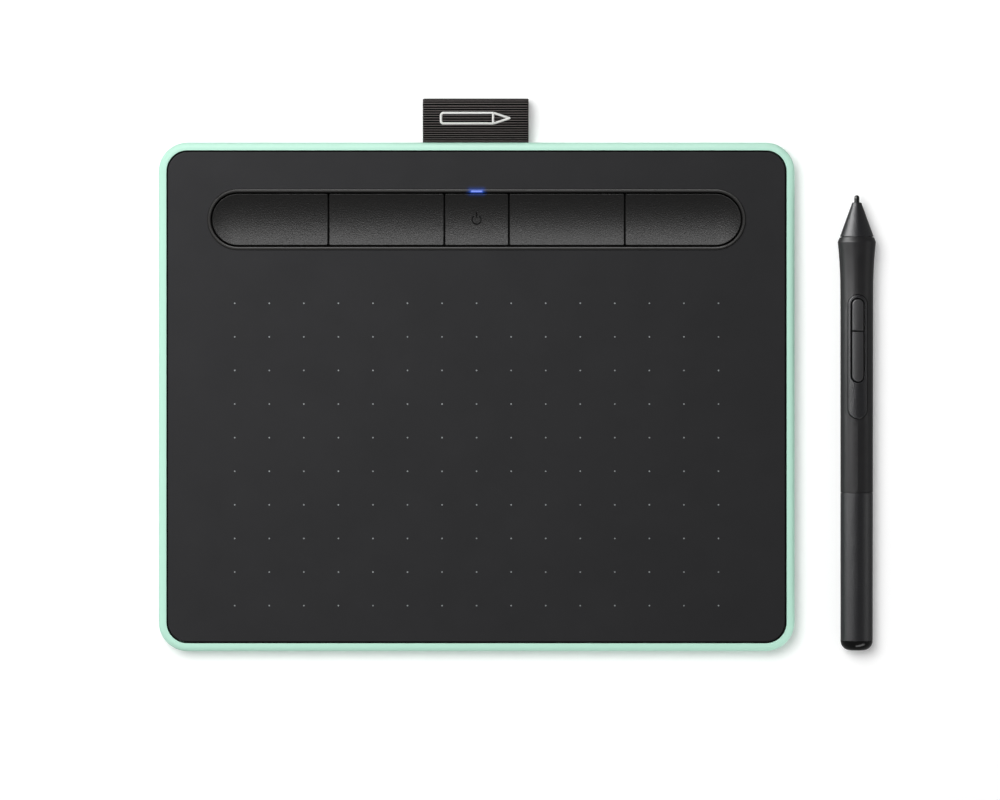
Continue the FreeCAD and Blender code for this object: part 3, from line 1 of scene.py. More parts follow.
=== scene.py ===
"""Looks of the pen drawing tablet and its pen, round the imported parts. Metres, desk at Z = 0."""
import json
import math

import bmesh
import bpy
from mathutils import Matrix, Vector


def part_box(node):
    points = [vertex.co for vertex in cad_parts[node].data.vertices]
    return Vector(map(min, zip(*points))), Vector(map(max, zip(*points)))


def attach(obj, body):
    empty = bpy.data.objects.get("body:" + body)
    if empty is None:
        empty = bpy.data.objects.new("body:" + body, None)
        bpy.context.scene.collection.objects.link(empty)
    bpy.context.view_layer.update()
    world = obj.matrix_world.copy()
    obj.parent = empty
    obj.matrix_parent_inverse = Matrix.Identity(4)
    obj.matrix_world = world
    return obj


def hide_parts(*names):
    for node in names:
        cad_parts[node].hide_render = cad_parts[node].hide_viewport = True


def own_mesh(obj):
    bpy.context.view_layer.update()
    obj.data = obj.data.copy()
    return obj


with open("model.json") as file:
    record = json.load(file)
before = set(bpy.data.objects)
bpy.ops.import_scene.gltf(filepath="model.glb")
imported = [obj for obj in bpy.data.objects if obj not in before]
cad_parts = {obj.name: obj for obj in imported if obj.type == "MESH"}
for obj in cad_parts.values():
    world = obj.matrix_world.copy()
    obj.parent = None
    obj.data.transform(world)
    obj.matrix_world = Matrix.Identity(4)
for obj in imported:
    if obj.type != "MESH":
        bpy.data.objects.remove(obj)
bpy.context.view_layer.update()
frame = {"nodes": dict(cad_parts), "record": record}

MM = 0.001
NODES = frame["nodes"]
scene = bpy.context.scene


def middle(node):
    """The middle of a node's box."""
    low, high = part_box(node)
    return (low + high) / 2


DECK_LOW, DECK_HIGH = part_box("deck_panel")
CASE = middle("bottom_case")
LIGHT = middle("light_guide")
KEY_ROW_Y = middle("key_bezel").y
DISH_AXIS_Z, DISH_RADIUS = 27.65 * MM, 21 * MM  # the trough scooped along the keys


# ---------------------------------------------------------------- camera, floor and lights

def make_camera():
    """Straight above the tablet, a little to the right of it, so that the pen is in view."""
    data = bpy.data.cameras.new("camera")
    camera = bpy.data.objects.new("camera", data)
    scene.collection.objects.link(camera)
    height = 1.6
    across = 314.2 * MM  # how much of the deck's plane the picture takes in
    data.sensor_width = 36
    data.lens = data.sensor_width * (height - DECK_HIGH.z) / across
    data.clip_start, data.clip_end = 0.1, 20
    right, down = 7.35 * MM, 0.99 * MM  # from the case's middle to the picture's
    camera.location = (CASE.x + right, CASE.y - down, height)
    scene.camera = camera


def make_floor():
    """A white table that glows a little, as a lit acrylic sheet does, so its shadows stay light."""
    mesh = bpy.data.meshes.new("floor")
    half = 5.0
    corners = [(-half, -half, 0), (half, -half, 0), (half, half, 0), (-half, half, 0)]
    mesh.from_pydata(corners, [], [(0, 1, 2, 3)])
    floor = bpy.data.objects.new("floor", mesh)
    scene.collection.objects.link(floor)
    floor.location.z = -0.05 * MM
    sheet = Surface("floor_sheet", (0.85, 0.85, 0.85), 0.9, specular=0.1)
    sheet.tint(sheet.noise(40, 2), (0.845, 0.845, 0.845), (0.86, 0.86, 0.86))
    sheet.shader.inputs["Emission Color"].default_value = (1, 1, 1, 1)
    sheet.shader.inputs["Emission Strength"].default_value = 0.2
    mesh.materials.append(sheet.material)
    floor.visible_glossy = False
    return floor


def softbox(name, toward, distance, width, height, watts, lights="all", linked=None):
    """An area light in the direction toward, facing the middle of the set.
    lights is all, matt or gloss: which side of a surface's look it reaches.
    linked is a collection that says which pieces it lights, where it doesn't light them all."""
    data = bpy.data.lights.new(name, "AREA")
    data.shape = "RECTANGLE"
    data.size, data.size_y, data.energy = width, height, watts
    light = bpy.data.objects.new(name, data)
    scene.collection.objects.link(light)
    direction = Vector(toward).normalized()
    light.location = direction * distance
    light.rotation_euler = (-direction).to_track_quat("-Z", "Y").to_euler()
    light.visible_camera = False
    light.visible_glossy = lights != "matt"
    light.visible_diffuse = lights != "gloss"
    if linked:
        light.light_linking.receiver_collection = linked


def link_group(name, pieces, state="INCLUDE"):
    """Pieces that a light reaches, or with EXCLUDE the ones that it doesn't."""
    group = bpy.data.collections.new(name)
    for piece in pieces:
        group.objects.link(piece)
    for item in group.collection_objects:
        item.light_linking.link_state = state
    return group


def make_lights(floor):
    """Even light all round, a close lamp from the rear left, and softboxes that only gloss shows.
    The table and the pen have lights of their own, as they would in a catalogue studio."""
    world = bpy.data.worlds.new("studio")
    scene.world = world
    world.use_nodes = True
    background = world.node_tree.nodes["Background"]
    background.inputs["Color"].default_value = (1, 1, 1, 1)
    background.inputs["Strength"].default_value = 0.3
    pen = [NODES[node] for body, nodes in frame["record"]["behaviour"]["bodies"].items()
           for node in nodes if body.startswith(("pen", "nib"))]
    pen_only = link_group("pen_only", pen)
    not_the_pen = link_group("not_the_pen", pen, "EXCLUDE")
    nose_only = link_group("nose_only", [NODES["pen_nose_cone"], NODES["pen_nib"]])
    table_only = link_group("table_only", [floor])
    case_only = link_group("case_only", [NODES["bottom_case"]])
    rear_barrel_only = link_group("rear_barrel_only", [NODES["pen_rear_barrel"]])
    neither_table_nor_case = link_group("neither_table_nor_case", [floor, NODES["bottom_case"]],
                                        "EXCLUDE")
    softbox("table_lamp", (-0.25, 0.24, 0.93), 1.5, 0.8, 0.8, 19.5, "matt", table_only)
    softbox("lamp", (-0.64, 0.43, 0.64), 0.47, 0.4, 0.4, 2.45, "matt", neither_table_nor_case)
    softbox("case_lamp", (-0.45, 0.25, 0.86), 0.9, 0.4, 0.4, 6.7, "matt", case_only)
    softbox("case_fill", (0.88, -0.45, 0.12), 0.6, 0.4, 0.2, 1.9, "matt", case_only)
    softbox("rear_softbox", (-0.05, 0.72, 0.69), 1.2, 1.0, 0.9, 18, "gloss", not_the_pen)
    softbox("pen_softbox", (-0.8, 0.64, 0.6), 0.55, 0.3, 0.78, 12.5, "gloss", pen_only)
    softbox("side_softbox", (-1.0, 0.35, 0.16), 0.5, 0.35, 0.13, 1.9, "gloss", pen_only)
    softbox("barrel_softbox", (-0.88, -0.1, 0.42), 0.5, 0.3, 0.36, 0.6, "gloss", rear_barrel_only)
    softbox("barrel_fill", (0.9, -0.1, 0.2), 0.5, 0.4, 0.2, 0.19, "gloss", rear_barrel_only)
    softbox("nose_softbox", (-0.44, 0.74, 0.48), 1.0, 0.7, 0.5, 2.5, "gloss", nose_only)
    softbox("pen_fill", (0.84, 0.1, 0.24), 0.6, 0.4, 0.25, 0.32, "gloss", pen_only)
    softbox("tail_softbox", (0.4, -0.8, 0.44), 1.0, 0.9, 0.3, 5.2, "gloss", pen_only)
    scene.view_settings.view_transform = "Standard"
    scene.view_settings.look = "None"


# ---------------------------------------------------------------- materials

class Surface:
    """A Principled material. Textures are in the piece's own coordinates, sizes in millimetres."""

    def __init__(self, name, colour, roughness, specular=0.5, metallic=0.0, **more):
        self.material = bpy.data.materials.new(name)
        self.material.use_nodes = True
        self.tree = self.material.node_tree
        self.shader = self.tree.nodes["Principled BSDF"]
        values = {"Base Color": (*colour, 1), "Roughness": roughness, "Metallic": metallic,
                  "Specular IOR Level": specular}
        values.update({key.replace("_", " "): value for key, value in more.items()})
        for socket, value in values.items():
            self.shader.inputs[socket].default_value = value
        self.place = self.add("ShaderNodeTexCoord").outputs["Object"]

    def add(self, kind, links=(), **settings):
        """A node with its settings, and its inputs from values or other nodes' outputs."""
        made = self.tree.nodes.new(kind)
        for name, value in settings.items():
            setattr(made, name, value)
        for socket, value in dict(links).items():
            if isinstance(value, bpy.types.NodeSocket):
                self.tree.links.new(value, made.inputs[socket])
            else:
                made.inputs[socket].default_value = value
        return made

    def into(self, socket, output):
        self.tree.links.new(output, self.shader.inputs[socket])

    def stretched(self, x, y, z):
        """The piece's coordinates, scaled along each axis."""
        return self.add("ShaderNodeMapping", {"Vector": self.place, "Scale": (x, y, z)}).outputs[0]

    def noise(self, size, detail=2.0, place=None, roughness=0.5):
        """Cloudy noise with features of that size."""
        return self.add("ShaderNodeTexNoise", {
            "Vector": place or self.place, "Scale": 1 / (size * MM), "Detail": detail,
            "Roughness": roughness}).outputs["Fac"]

    def waves(self, pitch, axis="X", distortion=0.0, place=None):
        """Even stripes across an axis, one each pitch."""
        return self.add("ShaderNodeTexWave", {
            "Vector": place or self.place, "Scale": math.pi / (10 * pitch * MM),
            "Distortion": distortion}, bands_direction=axis).outputs["Fac"]

    def ramp(self, value, low, high, start=0.0, end=1.0):
        """Maps a value from low..high to start..end."""
        return self.add("ShaderNodeMapRange", {
            "Value": value, "From Min": low, "From Max": high, "To Min": start,
            "To Max": end}).outputs[0]

    def sum(self, a, b, operation="ADD"):
        return self.add("ShaderNodeMath", {0: a, 1: b}, operation=operation).outputs[0]

    def mix(self, share, first, second):
        """A colour between two, by share from 0 to 1."""
        links = {"Factor": share}
        made = self.add("ShaderNodeMix", links, data_type="RGBA")
        for socket, value in ((6, first), (7, second)):
            if isinstance(value, bpy.types.NodeSocket):
                self.tree.links.new(value, made.inputs[socket])
            else:
                made.inputs[socket].default_value = (*value, 1)
        return made.outputs[2]

    def tint(self, share, first, second):
        self.into("Base Color", self.mix(share, first, second))

    def roughen(self, share, low, high):
        self.into("Roughness", self.ramp(share, 0.3, 0.7, low, high))

    def bump(self, height, depth, strength=1.0):
        """Relief of that depth in millimetres."""
        links = {"Height": height, "Distance": depth * MM, "Strength": strength}
        self.into("Normal", self.add("ShaderNodeBump", links).outputs[0])


def scaled(colour, factor):
    return tuple(channel * factor for channel in colour)


def beyond_light(surface, axis):
    """How far a point lies outside the light guide's end along one axis; negative inside it."""
    low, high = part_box("light_guide")
    half = getattr((high - low) / 2, axis.lower())
    split = surface.add("ShaderNodeSeparateXYZ", {0: surface.place})
    centred = surface.sum(split.outputs[axis], getattr(LIGHT, axis.lower()), "SUBTRACT")
    return surface.sum(surface.sum(centred, 0, "ABSOLUTE"), half, "SUBTRACT")


def painted_blue_glow(surface, reach=2.0, strength=0.32):
    """Painted glow: blue emission on the pieces next to the power light, though they are no lamp,
    that stands in for its light spilling onto them.
    """
    squares = []
    for axis in ("X", "Y"):
        away = surface.sum(beyond_light(surface, axis), 0, "MAXIMUM")
        squares.append(surface.sum(away, away, "MULTIPLY"))
    distance = surface.sum(surface.sum(*squares), 0.5, "POWER")
    fade = surface.sum(surface.ramp(distance, 0, reach * MM, 1, 0), 3, "POWER")
    # Painted light: the glow's blue colour and its fade with distance from the power light.
    surface.shader.inputs["Emission Color"].default_value = (0, 0.15, 1.0, 1)
    surface.into("Emission Strength", surface.sum(fade, strength, "MULTIPLY"))


def moulded(name, colour, roughness, grain, depth, specular=0.5, variation=0.1, **more):
    """Moulded plastic: fine spark-eroded grain, small drifts of colour and of gloss."""
    made = Surface(name, colour, roughness, specular, **more)
    cloud = made.noise(14, 3)
    made.tint(cloud, scaled(colour, 1 - variation), scaled(colour, 1 + variation))
    grains = made.noise(grain, 3, roughness=0.6)
    made.roughen(made.noise(2.5, 3), roughness - 0.04, roughness + 0.04)
    made.bump(grains, depth)
    return made


def case_plastic():
    return moulded("mint_plastic", (0.495, 0.8, 0.658), 0.5, 0.22, 0.012, specular=0.35,
                   variation=0.012)


def deck_plastic():
    made = moulded("deck_plastic", (0.0315, 0.0315, 0.033), 0.62, 0.3, 0.02, specular=0.035)
    # Painted blue glow from the power light.
    painted_blue_glow(made)
    return made


def key_plastic():
    """Satin black with a leathery grain on top; the sides, the gaps between keys and the sunk symbol
    are dull and painted near black as shade.
    """
    made = Surface("key_plastic", (0.006, 0.0056, 0.0054), 0.44, 0.4)
    split = made.add("ShaderNodeSeparateXYZ", {0: made.place})
    ahead = made.sum(split.outputs["Y"], KEY_ROW_Y, "SUBTRACT")
    below = made.sum(split.outputs["Z"], DISH_AXIS_Z, "SUBTRACT")
    from_axis = made.sum(made.sum(ahead, 2, "POWER"), made.sum(below, below, "MULTIPLY"))
    depth = made.sum(made.sum(from_axis, 0.5, "POWER"), DISH_RADIUS, "SUBTRACT")
    # top is 1 on the scooped upper face of a key and 0 below it: on the sides, down in the gaps and
    # in the sunk symbol.
    top = made.ramp(depth, 0.03 * MM, 0.12 * MM, 1, 0)
    flecks = made.ramp(made.noise(0.32, 3, roughness=0.6), 0.36, 0.64, 0.25, 1)
    # Painted shade: below the upper face the colour falls to near black, darkening the gaps and the
    # sunk symbol; the flecks are the grain's own tone.
    made.tint(made.sum(flecks, top, "MULTIPLY"), (0.0006, 0.0006, 0.0006), (0.0085, 0.0079, 0.0076))
    worn = made.ramp(made.noise(0.35, 3), 0.35, 0.65, 0.40, 0.52)
    made.into("Roughness", made.sum(worn, made.ramp(top, 0, 1, 0.45, 0)))
    made.bump(made.noise(0.42, 3, roughness=0.6), 0.14, top)
    # Painted blue glow from the power light.
    painted_blue_glow(made)
    return made


def bezel_plastic():
    made = moulded("bezel_plastic", (0.0165, 0.0158, 0.015), 0.42, 0.3, 0.006, specular=0.45)
    # Painted blue glow from the power light.
    painted_blue_glow(made)
    return made


def foot_rubber():
    made = Surface("foot_rubber", (0.035, 0.035, 0.037), 0.85, 0.25)
    made.tint(made.noise(5, 3), (0.028, 0.028, 0.03), (0.042, 0.042, 0.044))
    made.roughen(made.noise(1.5, 2), 0.78, 0.9)
    made.bump(made.noise(0.35, 4), 0.03)
    return made


def metal(name, colour, roughness, brushed=(1, 1, 1), depth=0.004, size=0.3):
    made = Surface(name, colour, roughness, 0.5, 1.0)
    grain = made.noise(size, 4, made.stretched(*brushed))
    made.tint(grain, scaled(colour, 0.86), scaled(colour, 1.06))
    made.roughen(grain, roughness - 0.07, roughness + 0.09)
    made.bump(grain, depth)
    return made


def light_clear():
    """Clear bar lit from below; its end is brightest in the middle."""
    made = Surface("light_clear", (0.03, 0.05, 0.14), 0.3, 0.3)
    made.tint(made.noise(0.8, 1), (0.025, 0.045, 0.13), (0.035, 0.055, 0.15))
    middle_part = [made.ramp(beyond_light(made, axis), -rim * MM, -0.02 * MM, 1, 0.16)
                   for axis, rim in (("X", 0.4), ("Y", 0.22))]
    core = made.sum(*middle_part, "MULTIPLY")
    made.roughen(made.noise(0.4, 1), 0.26, 0.34)
    made.into("Emission Color", made.mix(core, (0.01, 0.09, 0.8), (0.25, 0.35, 0.95)))
    made.into("Emission Strength", made.ramp(core, 0, 1, 0.3, 0.95))
    return made


def board_green():
    made = Surface("board_green", (0.02, 0.12, 0.05), 0.35, 0.5)
    tracks = made.ramp(made.waves(1.4, "X", 6), 0.62, 0.66)
    across = made.ramp(made.waves(2.2, "Y", 5), 0.66, 0.7)
    copper = made.sum(tracks, across, "MAXIMUM")
    made.tint(copper, (0.012, 0.085, 0.035), (0.03, 0.17, 0.075))
    made.roughen(made.noise(3, 2), 0.3, 0.42)
    made.bump(copper, 0.02)
    return made


def chip_black():
    made = Surface("chip_black", (0.016, 0.016, 0.017), 0.55, 0.45)
    made.tint(made.noise(1.2, 3), (0.012, 0.012, 0.013), (0.022, 0.022, 0.023))
    made.roughen(made.noise(0.8, 2), 0.48, 0.62)
    made.bump(made.noise(0.12, 3), 0.01)
    return made


def battery_foil():
    made = Surface("battery_foil", (0.55, 0.56, 0.58), 0.34, 0.5, 0.85)
    creases = made.noise(7, 4, roughness=0.6)
    made.tint(creases, (0.46, 0.47, 0.5), (0.62, 0.63, 0.65))
    made.roughen(made.noise(4, 3), 0.28, 0.42)
    made.bump(creases, 0.25)
    return made


def lead_plastic():
    """Insulated wire: one lead red and one black, told apart by which side of the middle it is."""
    made = Surface("lead_plastic", (0.3, 0.02, 0.02), 0.4, 0.5)
    split = made.add("ShaderNodeSeparateXYZ", {0: made.place})
    side = made.sum(split.outputs["X"], middle("battery_leads").x, "GREATER_THAN")
    made.tint(side, (0.38, 0.015, 0.012), (0.012, 0.012, 0.013))
    made.roughen(made.noise(2, 2), 0.34, 0.46)
    made.bump(made.noise(0.4, 2), 0.01)
    return made


def flex_film():
    made = Surface("flex_film", (0.5, 0.2, 0.035), 0.32, 0.5)
    tracks = made.ramp(made.waves(1.0, "X"), 0.45, 0.55)
    made.tint(tracks, (0.42, 0.15, 0.025), (0.62, 0.31, 0.08))
    made.roughen(made.noise(3, 2), 0.28, 0.38)
    made.bump(tracks, 0.02)
    return made


def webbing():
    """Ribbed webbing: black threads that wrap each rib. Along each rib's crown it is browner and
    paler, partly wear and partly a painted highlight; between the ribs it falls to near black,
    painted shade.
    """
    made = Surface("webbing", (0.012, 0.011, 0.011), 0.85, 0.1)
    crown = made.add("ShaderNodeAttribute", attribute_name="crown").outputs["Fac"]
    threads = made.waves(0.36, "X", 1.5)
    fluff = made.noise(0.5, 3, made.stretched(1, 0.3, 0.3))
    worn = made.ramp(fluff, 0.25, 0.75, 0.78, 1)
    crown_wear_and_painted_highlight = made.sum(made.ramp(crown, 0.84, 0.95), worn, "MULTIPLY")
    # Painted highlight and shade: near black between the ribs, paler and browner on the crowns, whose
    # paleness is partly wear.
    made.tint(crown_wear_and_painted_highlight, (0.001, 0.0009, 0.0009), (0.15, 0.134, 0.129))
    made.roughen(fluff, 0.72, 0.9)
    made.bump(made.sum(threads, fluff), 0.05)
    return made


def mark_thread():
    made = Surface("mark_thread", (0.8, 0.8, 0.78), 0.55, 0.35, Sheen_Weight=0.2)
    strands = made.waves(0.22, "X", 2.0)
    made.tint(strands, (0.68, 0.67, 0.65), (0.9, 0.9, 0.88))
    made.roughen(made.noise(0.4, 3), 0.45, 0.65)
    made.bump(strands, 0.04)
    return made


def dot_ink():
    made = Surface("dot_ink", (0.30, 0.32, 0.33), 0.6, 0.3)
    made.tint(made.noise(0.2, 2), (0.26, 0.28, 0.29), (0.36, 0.38, 0.39))
    made.roughen(made.noise(0.3, 2), 0.5, 0.7)
    made.bump(made.noise(0.1, 2), 0.004)
    return made


def copper_wire():
    """Enamelled wire, wound in close turns round the pen's length."""
    made = Surface("copper_wire", (0.62, 0.22, 0.07), 0.3, 0.5, 1.0)
    turns = made.waves(0.2, "Y", 0.4)
    made.tint(turns, (0.3, 0.08, 0.02), (0.72, 0.28, 0.1))
    made.roughen(made.noise(0.6, 2), 0.24, 0.36)
    made.bump(turns, 0.06)
    return made


def silicone():
    made = Surface("silicone", (0.7, 0.72, 0.74), 0.45, 0.4)
    made.tint(made.noise(1, 2), (0.62, 0.64, 0.66), (0.78, 0.8, 0.82))
    made.roughen(made.noise(0.7, 2), 0.4, 0.55)
    made.bump(made.noise(0.3, 2), 0.01)
    return made


def pen_soft():
    return moulded("pen_soft", (0.0125, 0.0119, 0.0132), 0.42, 0.35, 0.006, specular=0.28,
                   variation=0.06)


def pen_grained():
    """Fine black moulding with a sparkle grain that breaks up its highlight."""
    made = Surface("pen_grained", (0.0075, 0.0075, 0.0085), 0.34, 0.4)
    flecks = made.ramp(made.noise(0.3, 2), 0.35, 0.65)
    made.tint(flecks, (0.004, 0.004, 0.0056), (0.011, 0.0108, 0.0135))
    made.roughen(made.noise(0.35, 2), 0.28, 0.42)
    made.bump(made.noise(0.36, 3, roughness=0.6), 0.09)
    return made


def pen_satin():
    return moulded("pen_satin", (0.021, 0.0204, 0.0226), 0.46, 0.3, 0.02, specular=0.5)


def pen_gloss():
    made = Surface("pen_gloss", (0.003, 0.003, 0.0033), 0.16, 0.2)
    made.tint(made.noise(6, 3), (0.0022, 0.0022, 0.0025), (0.0038, 0.0038, 0.0042))
    made.roughen(made.noise(1.5, 4), 0.14, 0.2)
    made.bump(made.noise(2.5, 2), 0.004)
    return made


def board_black():
    made = Surface("board_black", (0.006, 0.0064, 0.007), 0.4, 0.3)
    tracks = made.ramp(made.waves(1.1, "Y", 5), 0.6, 0.66)
    made.tint(tracks, (0.004, 0.0043, 0.0048), (0.011, 0.0115, 0.0125))
    made.roughen(made.noise(3, 2), 0.34, 0.46)
    made.bump(tracks, 0.02)
    return made


FINISHES = {
    "case_plastic": case_plastic, "deck_plastic": deck_plastic, "key_plastic": key_plastic,
    "bezel_plastic": bezel_plastic, "foot_rubber": foot_rubber, "light_clear": light_clear,
    "screw_steel": lambda: metal("screw_steel", (0.42, 0.42, 0.44), 0.35, (1, 5, 1)),
    "board_green": board_green, "chip_black": chip_black,
    "shield_steel": lambda: metal("shield_steel", (0.56, 0.56, 0.57), 0.38, (0.15, 3, 1), size=0.6),
    "battery_foil": battery_foil, "lead_plastic": lead_plastic, "flex_film": flex_film,
    "connector_plastic": lambda: moulded("connector_plastic", (0.72, 0.69, 0.6), 0.45, 0.3, 0.01),
    "dome_steel": lambda: metal("dome_steel", (0.68, 0.68, 0.69), 0.22, (2, 2, 1)),
    "usb_steel": lambda: metal("usb_steel", (0.58, 0.58, 0.6), 0.28, (0.3, 4, 4)),
    "tongue_plastic": lambda: moulded("tongue_plastic", (0.02, 0.02, 0.021), 0.5, 0.2, 0.008),
    "webbing": webbing,
    "carrier_plastic": lambda: moulded("carrier_plastic", (0.004, 0.004, 0.0042), 0.6, 0.3, 0.012,
                                       specular=0.15),
    "pen_soft": pen_soft, "pen_grained": pen_grained, "pen_gloss": pen_gloss,
    "pen_satin": pen_satin, "board_black": board_black,
    "switch_black": lambda: moulded("switch_black", (0.006, 0.006, 0.006), 0.45, 0.2, 0.008),
    "nib_plastic": lambda: moulded("nib_plastic", (0.005, 0.005, 0.0052), 0.22, 0.2, 0.004,
                                   specular=0.28),
    "ferrite": lambda: moulded("ferrite", (0.05, 0.048, 0.047), 0.7, 0.15, 0.02),
    "copper_wire": copper_wire, "silicone": silicone,
}


def finish_nodes():
    """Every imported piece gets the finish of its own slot."""
    made = {slot: build().material for slot, build in FINISHES.items()}
    for part in frame["record"]["subparts"]:
        mesh = NODES[part["node"]].data
        mesh.materials.clear()
        mesh.materials.append(made[part["material_slot"]])
    return made


# ---------------------------------------------------------------- pieces

def new_piece(name, mesh, material, body):
    mesh.materials.append(material)
    piece = bpy.data.objects.new(name, mesh)
    scene.collection.objects.link(piece)
    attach(piece, body)
    return piece


def printed_dots():
    """The printed grid of dots that shows the active area."""
    columns, rows = 15, 10
    pitch_x, pitch_y = 10.857 * MM, 10.556 * MM
    radius, thick = 0.24 * MM, 0.02 * MM
    sides = 14
    mesh = bpy.data.meshes.new("printed_dots")
    work = bmesh.new()
    for column in range(columns):
        for row in range(rows):
            x = CASE.x + (column - (columns - 1) / 2) * pitch_x
            y = CASE.y - 18.1 * MM + (row - (rows - 1) / 2) * pitch_y
            low, high = [], []
            for side in range(sides):
                turn = 2 * math.pi * side / sides
                edge = Vector((math.cos(turn), math.sin(turn), 0)) * radius
                base = Vector((x, y, DECK_HIGH.z))
                low.append(work.verts.new(base + edge))
                high.append(work.verts.new(base + edge * 0.9 + Vector((0, 0, thick))))
            work.faces.new(high)
            for side in range(sides):
                after = (side + 1) % sides
                work.faces.new((low[side], low[after], high[after], high[side]))
    work.to_mesh(mesh)
    work.free()
    new_piece("printed_dots", mesh, dot_ink().material, "tablet")


def rounded_route(corners, radii):
    """Points along straight runs joined by arcs, in the Y-Z plane."""
    points = [Vector(corners[0])]
    for before, corner, after, radius in zip(corners, corners[1:], corners[2:], radii):
        corner = Vector(corner)
        back = (Vector(before) - corner).normalized()
        ahead = (Vector(after) - corner).normalized()
        half = back.angle(ahead) / 2
        middle_line = (back + ahead).normalized()
        centre = corner + middle_line * (radius / math.sin(half))
        start = corner + back * (radius / math.tan(half)) - centre
        sweep = math.pi - 2 * half
        turn = 1 if back.x * ahead.y - back.y * ahead.x < 0 else -1
        steps = max(3, int(sweep / 0.08))
        for step in range(steps + 1):
            angle = turn * sweep * step / steps
            c, s = math.cos(angle), math.sin(angle)
            points.append(centre + Vector((start.x * c - start.y * s, start.x * s + start.y * c)))
    points.append(Vector(corners[-1]))
    return points


def evenly(points, step):
    """Points at even distances along a route, with the whole length."""
    lengths = [0.0]
    for a, b in zip(points, points[1:]):
        lengths.append(lengths[-1] + (b - a).length)
    count = round(lengths[-1] / step)
    made, place = [], 0
    for i in range(count + 1):
        at = lengths[-1] * i / count
        while place < len(points) - 2 and lengths[place + 1] < at:
            place += 1
        span = lengths[place + 1] - lengths[place]
        share = (at - lengths[place]) / span if span else 0
        made.append(points[place].lerp(points[place + 1], share))
    return made, lengths[-1]


def deck_seal():
    """A black foam cord laid in the gap round the deck, that keeps dust out and rattles down."""
    gap, corner = 0.5 * MM, 5.55 * MM
    spare = 0.04 * MM
    top, bottom = DECK_HIGH.z - 0.5 * MM, DECK_HIGH.z - 1.3 * MM
    shoulder = top - 0.12 * MM
    inner, outer = spare, gap - spare
    section = [(inner, bottom), (outer, bottom), (outer, shoulder),
               ((inner + outer) / 2, top), (inner, shoulder)]
    steps = 12
    turns = []
    for quarter in range(4):
        x = DECK_HIGH.x - corner if quarter in (0, 3) else DECK_LOW.x + corner
        y = DECK_HIGH.y - corner if quarter < 2 else DECK_LOW.y + corner
        for step in range(steps + 1):
            turns.append((x, y, math.pi / 2 * (quarter + step / steps)))
    work = bmesh.new()
    rings = []
    for x, y, angle in turns:
        out = Vector((math.cos(angle), math.sin(angle), 0))
        rings.append([work.verts.new(Vector((x, y, z)) + out * (corner + away))
                      for away, z in section])
    for i, ring in enumerate(rings):
        after = rings[(i + 1) % len(rings)]
        for k in range(len(section)):
            beside = (k + 1) % len(section)
            work.faces.new((ring[k], after[k], after[beside], ring[beside]))
    bmesh.ops.recalc_face_normals(work, faces=work.faces)
    mesh = bpy.data.meshes.new("deck_seal")
    work.to_mesh(mesh)
    work.free()
    foam = moulded("seal_foam", (0.004, 0.004, 0.004), 0.8, 0.25, 0.03, specular=0.1)
    new_piece("deck_seal", mesh, foam.material, "tablet")


WEB_THICK = 1.1 * MM
RIB_PITCH = 0.74 * MM
STEPS_PER_RIB = 8


def web_route():
    """The webbing's middle line, out of the case, round the loop and back, in Y and Z."""
    low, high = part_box("pen_loop")
    half = WEB_THICK / 2
    rear, keel = high.y - half, low.z + half  # the middle line at its rearmost and its lowest
    upper, lower = low.z + 5.2 * MM, low.z + 4.05 * MM
    corners = [
        (low.y, upper), (rear - 11.8 * MM, upper), (rear - 6.8 * MM, keel + 6.2 * MM),
        (rear, keel + 5.9 * MM), (rear, keel + 0.1 * MM), (rear - 7.4 * MM, keel),
        (rear - 11.5 * MM, lower), (low.y, lower),
    ]
    radii = [6, 8, 2.2, 2.2, 5, 3]
    return rounded_route(corners, [radius * MM for radius in radii])


def web_loop(material):
    """The pen loop as ribbed webbing: ribs run across it, with a rounded selvedge at each side."""
    low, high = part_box("pen_loop")
    middle_line, length = evenly(web_route(), RIB_PITCH / STEPS_PER_RIB)
    width = high.x - low.x
    edge = 0.5 * MM
    across = [0, 0.06, 0.2, 0.5, 1.0]
    offsets = [share * edge for share in across]
    strips = 24
    columns = offsets + [edge + (width - 2 * edge) * i / strips for i in range(1, strips)]
    columns += [width - offset for offset in reversed(offsets)]
    work = bmesh.new()
    crown = work.verts.layers.float.new("crown")
    count = len(middle_line)
    rib_depth = 0.32 * MM
    rings = []
    for i, point in enumerate(middle_line):
        ahead = middle_line[min(i + 1, count - 1)] - middle_line[max(i - 1, 0)]
        normal = Vector((ahead.y, -ahead.x)).normalized()
        rib = abs(math.sin(math.pi * i / STEPS_PER_RIB))
        half = WEB_THICK / 2 - rib_depth * (1 - rib ** 0.8)
        ring = []
        for side in (-1, 1):
            row = columns if side < 0 else list(reversed(columns))
            for offset in row:
                near = min(offset, width - offset)
                inset = 1 if near >= edge else math.sqrt(1 - (1 - near / edge) ** 2)
                out = normal * side * half * (0.35 + 0.65 * inset)
                sway = 0.05 * MM * math.sin(i * 0.9 + 1.7 * math.sin(i * 0.13))
                x = low.x + offset + (sway if near < edge else 0)
                x = min(max(x, low.x), high.x)
                vert = work.verts.new((x, point.x + out.x, point.y + out.y))
                vert[crown] = rib
                ring.append(vert)
        rings.append(ring)
    size = len(rings[0])
    for first, second in zip(rings, rings[1:]):
        for k in range(size):
            after = (k + 1) % size
            work.faces.new((first[k], first[after], second[after], second[k]))
    work.faces.new(rings[0][::-1])
    work.faces.new(rings[-1])
    bmesh.ops.recalc_face_normals(work, faces=work.faces)
    for face in work.faces:
        face.smooth = True
    mesh = bpy.data.meshes.new("webbing_loop")
    work.to_mesh(mesh)
    work.free()
    loop = new_piece("webbing_loop", mesh, material, "tablet")
    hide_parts("pen_loop")
    return loop, width, length


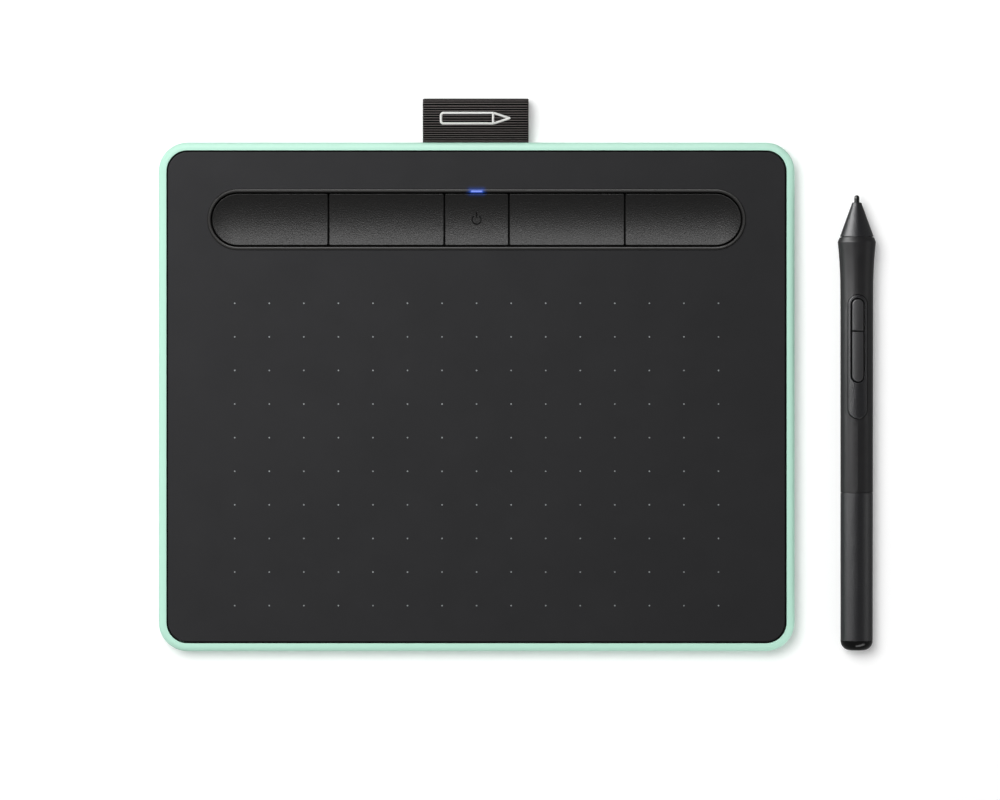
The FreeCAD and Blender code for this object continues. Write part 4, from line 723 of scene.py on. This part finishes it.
def web_top(y):
    """Height of the webbing's upper face at y, over the loop."""
    route = web_route()
    for a, b in zip(route, route[1:]):
        if a.x <= y <= b.x:
            share = (y - a.x) / (b.x - a.x)
            return a.lerp(b, share).y + WEB_THICK / 2
    return route[0].y + WEB_THICK / 2


def stroke(work, points, width, rise):
    """A thread-covered bar along points on the webbing's upper face."""
    route, _ = evenly([Vector(point) for point in points], 0.11 * MM)
    profile = [(-1, -0.3), (-0.9, 0.35), (-0.5, 0.85), (0, 1), (0.5, 0.85), (0.9, 0.35), (1, -0.3)]
    rings = []
    for i, point in enumerate(route):
        ahead = route[min(i + 1, len(route) - 1)] - route[max(i - 1, 0)]
        side = Vector((-ahead.y, ahead.x)).normalized()
        strand = 1 + 0.16 * math.cos(math.pi * i)
        end = 0.55 if i in (0, len(route) - 1) else 1
        ring = []
        for share, lift in profile:
            at = point + side * share * width / 2 * end
            height = web_top(at.y) + rise * lift * strand * end
            ring.append(work.verts.new((at.x, at.y, height)))
        rings.append(ring)
    for first, second in zip(rings, rings[1:]):
        for k in range(len(profile) - 1):
            work.faces.new((first[k], first[k + 1], second[k + 1], second[k]))
    for ring in (rings[0], rings[-1][::-1]):
        work.faces.new(ring)
    for ring_a, ring_b in zip(rings, rings[1:]):
        work.faces.new((ring_a[-1], ring_a[0], ring_b[0], ring_b[-1]))


def woven_mark():
    """A plain pen pictogram, woven into the upper face of the loop."""
    x, y = CASE.x - 0.4 * MM, CASE.y + 87.6 * MM
    barrel, tip, half = 16.6 * MM, 5 * MM, 1.65 * MM
    left = x - (barrel + tip) / 2
    right = left + barrel
    line, rise = 0.72 * MM, 0.12 * MM
    work = bmesh.new()
    corner = 0.5 * MM
    outline = [(right, y + half), (left + corner, y + half), (left, y + half - corner),
               (left, y - half + corner), (left + corner, y - half), (right, y - half)]
    stroke(work, outline, line, rise)
    stroke(work, [(right, y + half), (right + tip, y), (right, y - half)], line, rise)
    stroke(work, [(right - 0.2 * MM, y + half), (right - 0.2 * MM, y - half)], line, rise)
    bmesh.ops.recalc_face_normals(work, faces=work.faces)
    for face in work.faces:
        face.smooth = True
    mesh = bpy.data.meshes.new("woven_mark")
    work.to_mesh(mesh)
    work.free()
    return new_piece("woven_mark", mesh, mark_thread().material, "tablet")


def snap_domes(finishes):
    """The steel snap domes under the keys, as copies of the imported ones fixed to the tablet. The
    real domes flatten as their keys go in; these copies don't.
    """
    keys = {"key_dome_1": "express_key_1", "key_dome_2": "express_key_2",
            "power_dome": "power_button", "key_dome_3": "express_key_3",
            "key_dome_4": "express_key_4"}
    for name, key in keys.items():
        mesh = NODES[name].data.copy()
        mesh.name = "snap_" + name
        mesh.transform(NODES[name].matrix_world)
        mesh.materials.clear()
        piece = new_piece("snap_" + name, mesh, finishes["dome_steel"], "tablet")
        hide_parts(name)
        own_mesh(piece)


def main():
    make_camera()
    make_lights(make_floor())
    finishes = finish_nodes()
    printed_dots()
    deck_seal()
    snap_domes(finishes)
    loop, width, length = web_loop(finishes["webbing"])
    mark = woven_mark()


main()
